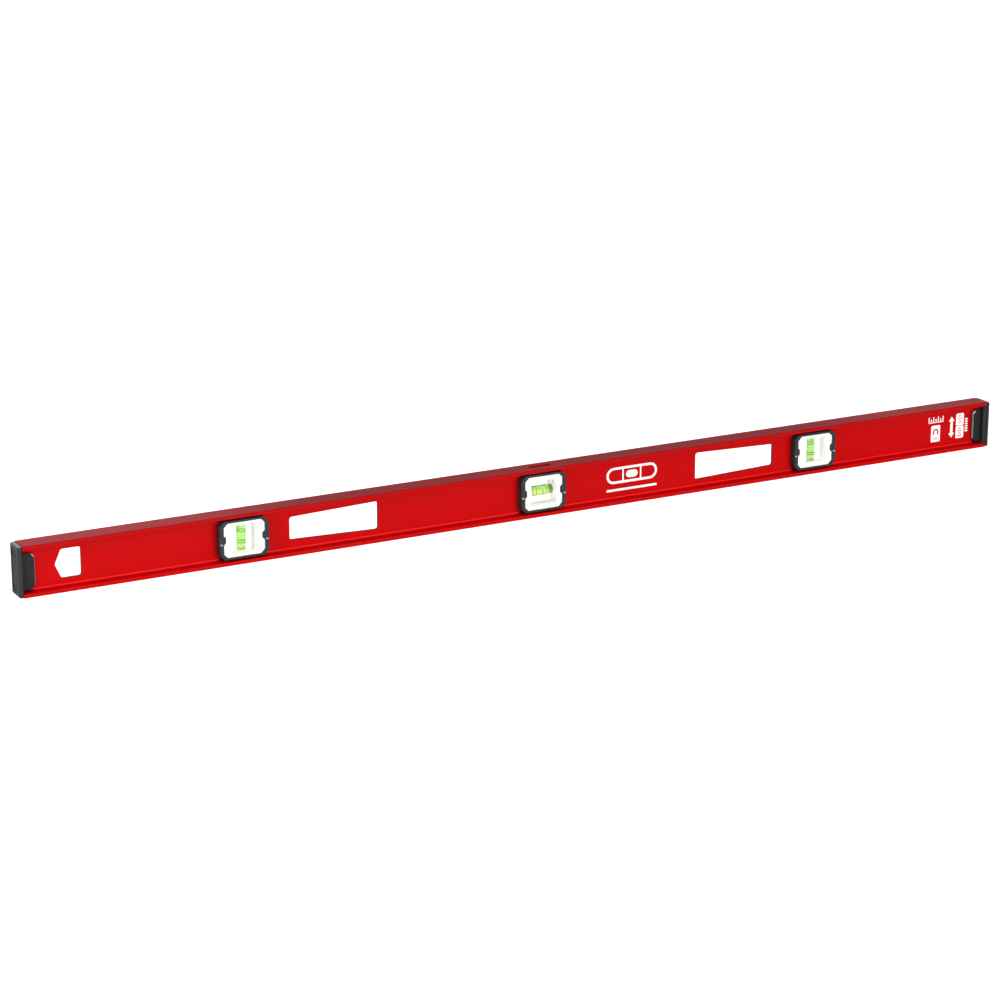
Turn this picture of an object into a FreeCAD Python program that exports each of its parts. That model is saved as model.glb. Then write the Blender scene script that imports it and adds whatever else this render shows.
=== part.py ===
# A 1.2 m I-beam spirit level, as a parametric FreeCAD document.
#
# The frame of the model: +X runs along the level to its right end, +Y to its rear, +Z up.
# The origin is in the middle of the lower working face. All sizes are millimetres.
#
# The level has three vial stations along its web: a plumb vial on the left, the level vial in
# the middle and a plumb vial on the right. Every station holds the same kinds of piece, so one
# set of functions makes them all, and a Placement turns and carries them to their station.
import FreeCAD, Part

import os

import Sketcher

# ---------------------------------------------------------------------------------------------
# Driving dimensions: name, size and meaning. They become the cells of the spreadsheet "Dims".
# ---------------------------------------------------------------------------------------------
DIMENSIONS = [
    ("beam_length", 1208.6, "extruded beam, between the two end caps"),
    ("beam_height", 55.5, "between the two working faces"),
    ("beam_width", 24.5, "flange width, front to rear"),
    ("flange_thickness", 4.2, "each flange, top and bottom"),
    ("web_thickness", 2.8, "upright web between the flanges"),
    ("root_radius", 2.0, "fillet between web and flange"),
    ("flange_edge_radius", 0.6, "rounding along the flange edges"),
    ("hand_hole_inner", 201.0, "beam middle to a hand hole's tall side"),
    ("hand_hole_outer", 305.5, "beam middle to a hand hole's short side"),
    ("hand_hole_tall", 31.6, "hand hole's height on its tall side"),
    ("hand_hole_short", 25.2, "hand hole's height on its short side"),
    ("hand_hole_shift", 1.5, "how far both hand holes lie towards the right end"),
    ("hole_corner_radius", 3.0, "corners of the holes through the web"),
    ("hang_hole_apex", 567.1, "beam middle to the hang hole's point"),
    ("hang_hole_shoulder", 560.1, "beam middle to where the point begins"),
    ("hang_hole_inner", 538.4, "beam middle to the hang hole's upright side"),
    ("hang_hole_height", 31.4, "hang hole's height"),
    ("read_slot_length", 27.0, "slot in the top flange, above the level vial"),
    ("read_slot_width", 7.0, "the same slot, front to rear"),
    ("read_slot_radius", 1.5, "corners of that slot"),
    ("magnet_width", 12.0, "magnetic strip in the lower face"),
    ("magnet_thickness", 1.5, "the same strip"),
    ("magnet_recess", 0.1, "how far the strip lies inside the working face"),
    ("magnet_gap", 0.1, "air between the strip and each side of its groove"),
    ("magnet_end_gap", 2.0, "strip's end to the beam's end"),
    ("plumb_pitch", 360.0, "beam middle to the middle of a plumb station"),
    ("bezel_length", 56.6, "outside of a bezel, along the beam"),
    ("bezel_height", 42.8, "outside of a bezel, upwards"),
    ("bezel_chamfer", 5.6, "corner cut on a bezel's outside"),
    ("bezel_face", 11.6, "middle plane to a bezel's outer face"),
    ("bezel_lip", 1.8, "thickness of a bezel's lip over the carrier"),
    ("bezel_edge", 0.6, "edge break round a bezel's outer face"),
    ("opening_length", 47.2, "opening inside a bezel's lip"),
    ("opening_height", 38.0, "the same opening, upwards"),
    ("opening_chamfer", 4.4, "corner cut of that opening"),
    ("tab_reach", 2.7, "how far a snap tab stands into the opening"),
    ("tab_root_height", 10.6, "snap tab where it leaves the lip"),
    ("tab_tip_height", 5.8, "snap tab at its tip"),
    ("tab_rise", 0.6, "snap tab's middle above the bezel's middle"),
    ("tab_channel_depth", 0.8, "shallow channel that the snap tab lies in"),
    ("tab_channel_height", 10.0, "the same channel"),
    ("carrier_length", 48.8, "outside of a vial carrier, along the beam"),
    ("carrier_height", 39.2, "outside of a vial carrier, upwards"),
    ("carrier_chamfer", 5.0, "corner cut of a vial carrier"),
    ("carrier_play", 0.1, "carrier to bezel and to web, all round"),
    ("window_along", 28.4, "window over a vial, along the vial"),
    ("window_across", 25.2, "window over a vial, across it"),
    ("window_radius", 1.5, "corners of the window"),
    ("backing", 1.6, "each carrier's wall behind its window, round the vial"),
    ("lens_margin", 2.3, "lens past the window, all round"),
    ("lens_thickness", 1.2, "clear lens"),
    ("lens_play", 0.1, "lens to its seat, all round"),
    ("lens_sink", 0.2, "lens below the carrier's face"),
    ("lens_edge", 0.3, "edge break round the lens"),
    ("tube_length", 35.6, "vial tube"),
    ("tube_radius", 5.4, "outside of the vial tube"),
    ("socket_play", 0.05, "vial tube to its socket, all round"),
    ("cavity_length", 28.8, "fluid space inside the tube"),
    ("cavity_middle_radius", 4.35, "crowned bore at the tube's middle"),
    ("cavity_end_radius", 4.1, "crowned bore at its ends"),
    ("bubble_length", 9.0, "air bubble, along the vial"),
    ("bubble_radius", 3.9, "bubble's back, under the bore"),
    ("bubble_floor", 0.9, "vial axis to the bubble's flat underside"),
    ("bubble_rounding", 1.1, "rounding of the bubble's ends"),
    ("bubble_gap", 0.2, "bubble to the fluid and to the ends of the bore"),
    ("bubble_travel", 9.5, "bubble's way from the vial's middle to either end"),
    ("ring_offset", 6.1, "vial's middle to each graduation ring"),
    ("ring_width", 0.7, "graduation ring, along the vial"),
    ("ring_thickness", 0.15, "graduation ring, above the tube"),
    ("ring_clearance", 0.15, "graduation ring to the carriers' wall round it"),
    ("top_window_length", 26.6, "clear pane under the reading slot"),
    ("top_window_width", 6.6, "the same pane, front to rear"),
    ("top_window_thickness", 1.6, "the same pane"),
    ("top_window_radius", 1.4, "corners of that pane"),
    ("sight_length", 24.6, "sight opening through the carriers' top"),
    ("sight_width", 5.4, "the same opening, front to rear"),
    ("cap_plate", 4.8, "end cap's plate, along the beam"),
    ("cap_gap", 0.5, "plate to the beam's end"),
    ("cap_inset", 0.4, "plate inside the beam's outline, all round"),
    ("cap_corner_radius", 1.2, "upright and level corners of the plate"),
    ("cap_edge", 1.2, "bevel round the plate's outer face"),
    ("cap_panel_depth", 0.8, "sunk panel in the plate's outer face"),
    ("cap_panel_rim", 3.4, "plate's rim round the sunk panel"),
    ("cap_rib_height", 0.6, "ribs in the sunk panel"),
    ("cap_rib_width", 1.6, "each rib, upwards"),
    ("cap_rib_pitch", 4.2, "rib to rib"),
    ("ear_length", 14.7, "cap's ears, from the plate into the beam"),
    ("ear_half_width", 6.2, "middle plane to an ear's outer face"),
    ("ear_top", 18.0, "beam's middle height up to an ear's top"),
    ("ear_bottom", 21.0, "beam's middle height down to an ear's bottom"),
    ("ear_chamfer", 4.3, "corner cut at an ear's tip"),
    ("ear_bevel", 0.5, "lead-in bevel along an ear's tip"),
    ("ear_slot", 3.1, "slot between the ears, over the web"),
]

RIB_COUNT = 7
STEP_FOLDER = "parts"

# The stations: name, where its middle lies, and how its vial is turned. The vial is made along
# X with its bubble side up. A plumb vial stands up, with its bubble side towards its own end of
# the beam, and its bubble at rest at its upper end.
UPRIGHT_LEFT = FreeCAD.Rotation(FreeCAD.Vector(0, 1, 0), -90)
UPRIGHT_RIGHT = FreeCAD.Rotation(FreeCAD.Vector(1, 0, 1), 180)
STATIONS = [
    ("left_plumb", "-Dims.plumb_pitch", UPRIGHT_LEFT),
    ("level", "0", FreeCAD.Rotation()),
    ("right_plumb", "Dims.plumb_pitch", UPRIGHT_RIGHT),
]
HALF_TURN = FreeCAD.Rotation(FreeCAD.Vector(0, 0, 1), 180)
MIDDLE_HEIGHT = "Dims.beam_height / 2"

doc = FreeCAD.newDocument("SpiritLevel")
made_parts = []


# ---------------------------------------------------------------------------------------------
# Spreadsheet, bodies and sketches
# ---------------------------------------------------------------------------------------------
def make_sheet():
    """Write the driving dimensions into the spreadsheet, one aliased cell each."""
    sheet = doc.addObject("Spreadsheet::Sheet", "Dims")
    for row, (name, size, meaning) in enumerate(DIMENSIONS, start=1):
        sheet.set(f"A{row}", name)
        sheet.set(f"B{row}", str(size))
        sheet.set(f"C{row}", meaning)
        sheet.setAlias(f"B{row}", name)
    doc.recompute()
    return sheet


def new_body(label):
    """Start a sub-part that is built from sketches and features."""
    body = doc.addObject("PartDesign::Body", label)
    body.Label = label
    made_parts.append(body)
    return body


def place(part, along, rotation=None, height=MIDDLE_HEIGHT):
    """Turn a sub-part and carry it to its place along the beam and above the lower face."""
    part.Placement = FreeCAD.Placement(FreeCAD.Vector(), rotation or FreeCAD.Rotation())
    part.setExpression("Placement.Base.x", along)
    part.setExpression("Placement.Base.z", height)


def new_sketch(body, name, role, offset=None):
    """Make a sketch on one of the body's origin planes, moved along its normal by offset.

    The XZ plane's normal points to the front (-Y), the YZ plane's to +X, the XY plane's to +Z.
    """
    plane = next(item for item in body.Origin.OriginFeatures if item.Role == role)
    sketch = body.newObject("Sketcher::SketchObject", name)
    sketch.AttachmentSupport = [(plane, "")]
    sketch.MapMode = "FlatFace"
    if offset:
        sketch.setExpression("AttachmentOffset.Base.z", offset)
    return sketch


def pin(sketch, edge, end, direction, expression):
    """Fix one coordinate of a sketch point to a spreadsheet expression."""
    if expression == "0":
        axis = -2 if direction == "DistanceX" else -1
        sketch.addConstraint(Sketcher.Constraint("PointOnObject", edge, end, axis))
        return
    size = sketch.evalExpression(expression)
    constraint = Sketcher.Constraint(direction, -1, 1, edge, end, size)
    index = sketch.addConstraint(constraint)
    sketch.setExpression(f"Constraints[{index}]", expression)


def draw_polygon(sketch, corners):
    """Draw a closed outline through corners, each a pair of spreadsheet expressions."""
    points = [
        FreeCAD.Vector(sketch.evalExpression(across), sketch.evalExpression(up), 0)
        for across, up in corners
    ]
    first = sketch.GeometryCount
    count = len(points)
    for start, end in zip(points, points[1:] + points[:1]):
        sketch.addGeometry(Part.LineSegment(start, end), False)
    for index in range(count):
        following = first + (index + 1) % count
        joined = Sketcher.Constraint("Coincident", first + index, 2, following, 1)
        sketch.addConstraint(joined)
    for index, (across, up) in enumerate(corners):
        pin(sketch, first + index, 1, "DistanceX", across)
        pin(sketch, first + index, 1, "DistanceY", up)


def draw_rectangle(sketch, half_across, half_up):
    """Draw a rectangle centred on the sketch's origin."""
    draw_polygon(
        sketch,
        [
            (f"-({half_across})", f"-({half_up})"),
            (f"{half_across}", f"-({half_up})"),
            (f"{half_across}", f"{half_up}"),
            (f"-({half_across})", f"{half_up}"),
        ],
    )


def draw_octagon(sketch, half_across, half_up, cut):
    """Draw a rectangle centred on the origin, with its four corners cut at 45 degrees."""
    across_in = f"{half_across} - {cut}"
    up_in = f"{half_up} - {cut}"
    draw_polygon(
        sketch,
        [
            (f"-({across_in})", f"-({half_up})"),
            (across_in, f"-({half_up})"),
            (half_across, f"-({up_in})"),
            (half_across, up_in),
            (across_in, half_up),
            (f"-({across_in})", half_up),
            (f"-({half_across})", up_in),
            (f"-({half_across})", f"-({up_in})"),
        ],
    )


def draw_circle(sketch, radius):
    """Draw a circle round the sketch's origin."""
    size = sketch.evalExpression(radius)
    circle = Part.Circle(FreeCAD.Vector(), FreeCAD.Vector(0, 0, 1), size)
    edge = sketch.addGeometry(circle, False)
    sketch.addConstraint(Sketcher.Constraint("Coincident", edge, 3, -1, 1))
    index = sketch.addConstraint(Sketcher.Constraint("Radius", edge, size))
    sketch.setExpression(f"Constraints[{index}]", radius)


# ---------------------------------------------------------------------------------------------
# Features
# ---------------------------------------------------------------------------------------------
def add_pad(body, sketch, length, symmetric=False, reverse=False):
    """Raise a sketch along its normal, or to both sides of it."""
    pad = body.newObject("PartDesign::Pad", "Pad")
    pad.Profile = sketch
    pad.SideType = "Symmetric" if symmetric else "One side"
    pad.Reversed = reverse
    pad.setExpression("Length", length)
    doc.recompute()
    return pad


def add_pocket(body, sketch, length, symmetric=False, reverse=False):
    """Cut a sketch against its normal, or to both sides of it, and prove that it cut."""
    before = body.Shape.Volume
    pocket = body.newObject("PartDesign::Pocket", "Pocket")
    pocket.Profile = sketch
    pocket.SideType = "Symmetric" if symmetric else "One side"
    pocket.Reversed = reverse
    pocket.setExpression("Length", length)
    doc.recompute()
    if body.Shape.Volume > before - 0.01:
        raise RuntimeError(f"{body.Label}: the pocket from {sketch.Name} cut nothing")
    return pocket


def edge_names(shape, wanted):
    """Name the edges of a shape that pass a test on their two end points."""
    names = []
    for number, edge in enumerate(shape.Edges, start=1):
        if len(edge.Vertexes) == 2 and wanted(edge.Vertexes[0].Point, edge.Vertexes[1].Point):
            names.append(f"Edge{number}")
    return names


def runs_along(first, second, axis):
    """True if two end points differ only along one axis: 0 for X, 1 for Y, 2 for Z."""
    return all(abs(first[i] - second[i]) < 1e-6 for i in range(3) if i != axis)


def on_plane(first, second, axis, where):
    """True if two end points both lie on the plane where that coordinate has that value."""
    return abs(first[axis] - where) < 1e-6 and abs(second[axis] - where) < 1e-6


def add_fillet(body, radius, wanted):
    """Round the edges of the body's last feature that pass a test."""
    base = body.Tip
    fillet = body.newObject("PartDesign::Fillet", "Fillet")
    fillet.Base = (base, edge_names(base.Shape, wanted))
    fillet.setExpression("Radius", radius)
    doc.recompute()
    return fillet


def add_chamfer(body, size, wanted):
    """Bevel the edges of the body's last feature that pass a test."""
    base = body.Tip
    chamfer = body.newObject("PartDesign::Chamfer", "Chamfer")
    chamfer.Base = (base, edge_names(base.Shape, wanted))
    chamfer.setExpression("Size", size)
    doc.recompute()
    return chamfer


# ---------------------------------------------------------------------------------------------
# Beam, magnetic strip and end caps
# ---------------------------------------------------------------------------------------------
def make_beam(sheet):
    """The aluminium extrusion, with every opening that is machined into it.

    Its section is an I whose lower flange has a groove for the magnetic strip.
    """
    body = new_body("i_beam")
    width = "Dims.beam_width / 2"
    web = "Dims.web_thickness / 2"
    height = "Dims.beam_height"
    lower = "Dims.flange_thickness"
    upper = "Dims.beam_height - Dims.flange_thickness"
    groove = "Dims.magnet_width / 2 + Dims.magnet_gap"
    groove_top = "Dims.magnet_thickness + Dims.magnet_recess"
    section = new_sketch(body, "BeamSection", "YZ_Plane")
    right_side = [
        (groove, groove_top),
        (groove, "0"),
        (width, "0"),
        (width, lower),
        (web, lower),
        (web, upper),
        (width, upper),
        (width, height),
    ]
    left_side = [(f"-({across})", up) for across, up in reversed(right_side)]
    draw_polygon(section, right_side + left_side)
    add_pad(body, section, "Dims.beam_length", symmetric=True)

    flange_edge = sheet.beam_width / 2
    web_face = sheet.web_thickness / 2
    add_fillet(
        body,
        "Dims.root_radius",
        lambda a, b: runs_along(a, b, 0) and abs(abs(a.y) - web_face) < 1e-6,
    )
    add_fillet(
        body,
        "Dims.flange_edge_radius",
        lambda a, b: runs_along(a, b, 0) and abs(abs(a.y) - flange_edge) < 1e-6,
    )
    cut_hand_holes(body)
    cut_hang_hole(body)
    cut_station_openings(body)
    cut_read_slot(body)
    return body


def cut_hand_holes(body):
    """Two tapered hand holes, each tall on the side towards the middle."""
    middle = "Dims.beam_height / 2"
    holes = new_sketch(body, "HandHoles", "XZ_Plane")
    for sign in ("", "-"):
        inner = f"{sign}Dims.hand_hole_inner + Dims.hand_hole_shift"
        outer = f"{sign}Dims.hand_hole_outer + Dims.hand_hole_shift"
        draw_polygon(
            holes,
            [
                (inner, f"{middle} - Dims.hand_hole_tall / 2"),
                (outer, f"{middle} - Dims.hand_hole_short / 2"),
                (outer, f"{middle} + Dims.hand_hole_short / 2"),
                (inner, f"{middle} + Dims.hand_hole_tall / 2"),
            ],
        )
    add_pocket(body, holes, "Dims.web_thickness * 2", symmetric=True)
    inner = body.evalExpression("Dims.hand_hole_inner - 2 * Dims.hand_hole_shift")
    outer = body.evalExpression("Dims.hand_hole_outer + 2 * Dims.hand_hole_shift")
    add_fillet(
        body,
        "Dims.hole_corner_radius",
        lambda a, b: runs_along(a, b, 1) and inner < abs(a.x) < outer,
    )


def cut_hang_hole(body):
    """A five-sided hole near the left end, for hanging the level on a hook."""
    middle = "Dims.beam_height / 2"
    top = f"{middle} + Dims.hang_hole_height / 2"
    bottom = f"{middle} - Dims.hang_hole_height / 2"
    hole = new_sketch(body, "HangHole", "XZ_Plane")
    draw_polygon(
        hole,
        [
            ("-Dims.hang_hole_apex", middle),
            ("-Dims.hang_hole_shoulder", bottom),
            ("-Dims.hang_hole_inner", bottom),
            ("-Dims.hang_hole_inner", top),
            ("-Dims.hang_hole_shoulder", top),
        ],
    )
    add_pocket(body, hole, "Dims.web_thickness * 2", symmetric=True)
    outer = body.evalExpression("Dims.hang_hole_apex") + 1
    inner = body.evalExpression("Dims.hang_hole_inner") - 1
    add_fillet(
        body,
        "Dims.hole_corner_radius",
        lambda a, b: runs_along(a, b, 1) and -outer < a.x < -inner,
    )


def cut_station_openings(body):
    """Three openings in the web that the vial carriers pass through."""
    middle = "Dims.beam_height / 2"
    half_length = "Dims.carrier_length / 2 + Dims.carrier_play"
    half_height = "Dims.carrier_height / 2 + Dims.carrier_play"
    cut = "Dims.carrier_chamfer"
    openings = new_sketch(body, "StationOpenings", "XZ_Plane")
    for _, station, _ in STATIONS:
        draw_polygon(
            openings,
            [
                (f"{station} - ({half_length} - {cut})", f"{middle} - ({half_height})"),
                (f"{station} + {half_length} - {cut}", f"{middle} - ({half_height})"),
                (f"{station} + {half_length}", f"{middle} - ({half_height} - {cut})"),
                (f"{station} + {half_length}", f"{middle} + {half_height} - {cut}"),
                (f"{station} + {half_length} - {cut}", f"{middle} + {half_height}"),
                (f"{station} - ({half_length} - {cut})", f"{middle} + {half_height}"),
                (f"{station} - ({half_length})", f"{middle} + {half_height} - {cut}"),
                (f"{station} - ({half_length})", f"{middle} - ({half_height} - {cut})"),
            ],
        )
    add_pocket(body, openings, "Dims.web_thickness * 2", symmetric=True)


def cut_read_slot(body):
    """A slot down through the top flange, to read the level vial from above."""
    slot = new_sketch(body, "ReadSlot", "XY_Plane", offset="Dims.beam_height")
    draw_rectangle(slot, "Dims.read_slot_length / 2", "Dims.read_slot_width / 2")
    add_pocket(body, slot, "(Dims.beam_height - Dims.carrier_height) / 2")
    half = body.evalExpression("Dims.read_slot_length / 2")
    flange = body.evalExpression("Dims.beam_height - Dims.flange_thickness") - 1e-6
    add_fillet(
        body,
        "Dims.read_slot_radius",
        lambda a, b: runs_along(a, b, 2) and abs(abs(a.x) - half) < 1e-6 and min(a.z, b.z) > flange,
    )


def make_magnet_strip():
    """The magnetic strip in the groove of the lower working face."""
    strip = doc.addObject("Part::Box", "magnet_strip")
    strip.Label = "magnet_strip"
    strip.setExpression("Length", "Dims.beam_length - 2 * Dims.magnet_end_gap")
    strip.setExpression("Width", "Dims.magnet_width")
    strip.setExpression("Height", "Dims.magnet_thickness")
    strip.setExpression("Placement.Base.x", "Dims.magnet_end_gap - Dims.beam_length / 2")
    strip.setExpression("Placement.Base.y", "-Dims.magnet_width / 2")
    strip.setExpression("Placement.Base.z", "Dims.magnet_recess")
    made_parts.append(strip)


def make_end_cap(label, along, rotation):
    """A moulded end cap: a plate over the beam's end and two ears that grip its web.

    It is made with the beam's end in its YZ plane, the plate towards +X and the ears towards -X.
    """
    body = new_body(label)
    plate = new_sketch(body, "Plate", "YZ_Plane")
    half_width = "(Dims.beam_width / 2 - Dims.cap_inset)"
    half_height = "(Dims.beam_height / 2 - Dims.cap_inset)"
    draw_rectangle(plate, half_width, half_height)
    add_pad(body, plate, "Dims.cap_plate")
    outer_face = body.evalExpression("Dims.cap_plate")
    add_fillet(body, "Dims.cap_corner_radius", lambda a, b: runs_along(a, b, 0))
    add_chamfer(body, "Dims.cap_edge", lambda a, b: on_plane(a, b, 0, outer_face))

    panel = new_sketch(body, "Panel", "YZ_Plane", offset="Dims.cap_plate")
    draw_rectangle(
        panel,
        f"{half_width} - Dims.cap_panel_rim",
        f"{half_height} - Dims.cap_panel_rim",
    )
    add_pocket(body, panel, "Dims.cap_panel_depth")

    add_ribs(body)
    add_ears(body)
    place(body, along, rotation)
    return body


def add_ribs(body):
    """A column of low level ribs on the floor of the cap's sunk panel."""
    floor = "Dims.cap_plate - Dims.cap_panel_depth"
    ribs = new_sketch(body, "Ribs", "YZ_Plane", offset=floor)
    half_length = "(Dims.beam_width / 2 - Dims.cap_inset - Dims.cap_panel_rim - Dims.cap_rib_width)"
    for index in range(RIB_COUNT):
        middle = f"{index - RIB_COUNT // 2} * Dims.cap_rib_pitch"
        draw_polygon(
            ribs,
            [
                (f"-{half_length}", f"{middle} - Dims.cap_rib_width / 2"),
                (half_length, f"{middle} - Dims.cap_rib_width / 2"),
                (half_length, f"{middle} + Dims.cap_rib_width / 2"),
                (f"-{half_length}", f"{middle} + Dims.cap_rib_width / 2"),
            ],
        )
    add_pad(body, ribs, "Dims.cap_rib_height")


def add_ears(body):
    """The two ears, cut at their corners and bevelled at their tips, with the web's slot."""
    ears = new_sketch(body, "Ears", "XZ_Plane")
    draw_polygon(
        ears,
        [
            ("0", "-Dims.ear_bottom"),
            ("0", "Dims.ear_top"),
            ("-(Dims.ear_length - Dims.ear_chamfer)", "Dims.ear_top"),
            ("-Dims.ear_length", "Dims.ear_top - Dims.ear_chamfer"),
            ("-Dims.ear_length", "-(Dims.ear_bottom - Dims.ear_chamfer)"),
            ("-(Dims.ear_length - Dims.ear_chamfer)", "-Dims.ear_bottom"),
        ],
    )
    add_pad(body, ears, "2 * Dims.ear_half_width", symmetric=True)
    tip = -body.evalExpression("Dims.ear_length")
    add_chamfer(
        body,
        "Dims.ear_bevel",
        lambda a, b: runs_along(a, b, 2) and on_plane(a, b, 0, tip),
    )
    slot = new_sketch(body, "WebSlot", "YZ_Plane")
    draw_rectangle(slot, "Dims.ear_slot / 2", "Dims.beam_height / 2")
    add_pocket(body, slot, "Dims.ear_length")


# ---------------------------------------------------------------------------------------------
# Vial stations
# ---------------------------------------------------------------------------------------------
def make_bezel(label, station, rotation, read_from_above):
    """A bezel on one side of the web: a deep ring whose lip holds the carrier in.

    It is made as the front one, from the web's face to the front. A shallow channel crosses each
    end of its face at mid height, and a snap tab stands from the channel into the opening.
    """
    body = new_body(label)
    web_face = "Dims.web_thickness / 2"
    ring = new_sketch(body, "Ring", "XZ_Plane", offset=web_face)
    draw_octagon(ring, "Dims.bezel_length / 2", "Dims.bezel_height / 2", "Dims.bezel_chamfer")
    add_pad(body, ring, f"Dims.bezel_face - {web_face}")
    front = -body.evalExpression("Dims.bezel_face")
    add_chamfer(body, "Dims.bezel_edge", lambda a, b: on_plane(a, b, 1, front))

    bore = new_sketch(body, "Bore", "XZ_Plane", offset=web_face)
    draw_octagon(
        bore,
        "(Dims.carrier_length / 2 + Dims.carrier_play)",
        "(Dims.carrier_height / 2 + Dims.carrier_play)",
        "Dims.carrier_chamfer",
    )
    add_pocket(body, bore, f"Dims.bezel_face - Dims.bezel_lip - {web_face}", reverse=True)

    opening = new_sketch(body, "Opening", "XZ_Plane", offset="Dims.bezel_face")
    draw_tabbed_opening(opening)
    add_pocket(body, opening, "Dims.bezel_lip")

    cut_tab_channels(body)
    if read_from_above:
        cut_sight_opening(body, "Dims.read_slot_length", "Dims.read_slot_width")
    place(body, station, rotation)


def draw_tabbed_opening(sketch):
    """The opening in a bezel's lip: an octagon with a snap tab standing in from each end."""
    half_length = "Dims.opening_length / 2"
    half_height = "Dims.opening_height / 2"
    cut = "Dims.opening_chamfer"
    rise = "Dims.tab_rise"
    right_side = [
        (f"{half_length} - {cut}", f"-{half_height}"),
        (half_length, f"-{half_height} + {cut}"),
        (half_length, f"{rise} - Dims.tab_root_height / 2"),
        (f"{half_length} - Dims.tab_reach", f"{rise} - Dims.tab_tip_height / 2"),
        (f"{half_length} - Dims.tab_reach", f"{rise} + Dims.tab_tip_height / 2"),
        (half_length, f"{rise} + Dims.tab_root_height / 2"),
        (half_length, f"{half_height} - {cut}"),
        (f"{half_length} - {cut}", half_height),
    ]
    left_side = [(f"-({across})", up) for across, up in reversed(right_side)]
    draw_polygon(sketch, right_side + left_side)


def cut_tab_channels(body):
    """The shallow channels across both ends of a bezel's face, one over each snap tab."""
    channels = new_sketch(body, "TabChannels", "XZ_Plane", offset="Dims.bezel_face")
    low = "Dims.tab_rise - Dims.tab_channel_height / 2"
    high = "Dims.tab_rise + Dims.tab_channel_height / 2"
    for sign in ("", "-"):
        inner = f"{sign}(Dims.opening_length / 2 - 2 * Dims.tab_reach)"
        outer = f"{sign}(Dims.bezel_length / 2 + Dims.bezel_edge)"
        draw_polygon(channels, [(inner, low), (outer, low), (outer, high), (inner, high)])
    add_pocket(body, channels, "Dims.tab_channel_depth")


def cut_sight_opening(body, length, width):
    """Open the top wall of a piece of the level station, so its vial can be read from above."""
    sight = new_sketch(body, "Sight", "XY_Plane", offset="Dims.bezel_height / 2")
    draw_rectangle(sight, f"{length} / 2", f"{width} / 2")
    add_pocket(body, sight, "Dims.bezel_height / 2")


def make_carrier(label, station, rotation, upright, read_from_above):
    """One half of the white carrier that clamps the vial, from the middle plane to the front.

    It has a window over the vial, a thin wall that closes the window all round the vial, a seat
    for the lens, and half of the socket that holds the tube. The thin wall stands a little clear
    of the tube, so that the graduation rings go in without touching it.
    """
    body = new_body(label)
    face = "Dims.bezel_face - Dims.bezel_lip"
    block = new_sketch(body, "Block", "XZ_Plane")
    draw_octagon(block, "Dims.carrier_length / 2", "Dims.carrier_height / 2", "Dims.carrier_chamfer")
    add_pad(body, block, face)

    half_length, half_height = window_halves(upright)
    window = new_sketch(body, "Window", "XZ_Plane", offset=face)
    draw_rectangle(window, half_length, half_height)
    add_pocket(body, window, f"{face} - Dims.backing")
    corner = body.evalExpression(half_length)
    add_fillet(
        body,
        "Dims.window_radius",
        lambda a, b: runs_along(a, b, 1) and abs(abs(a.x) - corner) < 1e-6,
    )

    seat = new_sketch(body, "LensSeat", "XZ_Plane", offset=face)
    margin = "Dims.lens_margin"
    draw_rectangle(seat, f"{half_length} + {margin}", f"{half_height} + {margin}")
    add_pocket(body, seat, "Dims.lens_thickness + Dims.lens_sink")

    socket = new_sketch(body, "Socket", "XY_Plane" if upright else "YZ_Plane")
    draw_circle(socket, "Dims.tube_radius + Dims.socket_play")
    add_pocket(body, socket, "Dims.tube_length + 2 * Dims.socket_play", symmetric=True)
    relief = new_sketch(body, "RingRelief", "XY_Plane" if upright else "YZ_Plane")
    draw_circle(relief, "Dims.tube_radius + Dims.ring_thickness + Dims.ring_clearance")
    add_pocket(body, relief, "Dims.window_along", symmetric=True)
    if read_from_above:
        cut_sight_opening(body, "Dims.sight_length", "Dims.sight_width")
    place(body, station, rotation)


def window_halves(upright):
    """Half the window's length and height, which swap over on an upright vial."""
    halves = ("Dims.window_along / 2", "Dims.window_across / 2")
    return halves[::-1] if upright else halves


def make_lens(label, station, rotation, upright):
    """A clear lens in the carrier's seat, made as the front one."""
    body = new_body(label)
    outer = "Dims.bezel_face - Dims.bezel_lip - Dims.lens_sink"
    pane = new_sketch(body, "Pane", "XZ_Plane", offset=f"{outer} - Dims.lens_thickness")
    half_length, half_height = window_halves(upright)
    margin = "Dims.lens_margin - Dims.lens_play"
    draw_rectangle(pane, f"{half_length} + {margin}", f"{half_height} + {margin}")
    add_pad(body, pane, "Dims.lens_thickness")
    front = -body.evalExpression(outer)
    add_chamfer(body, "Dims.lens_edge", lambda a, b: on_plane(a, b, 1, front))
    place(body, station, rotation)


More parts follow.
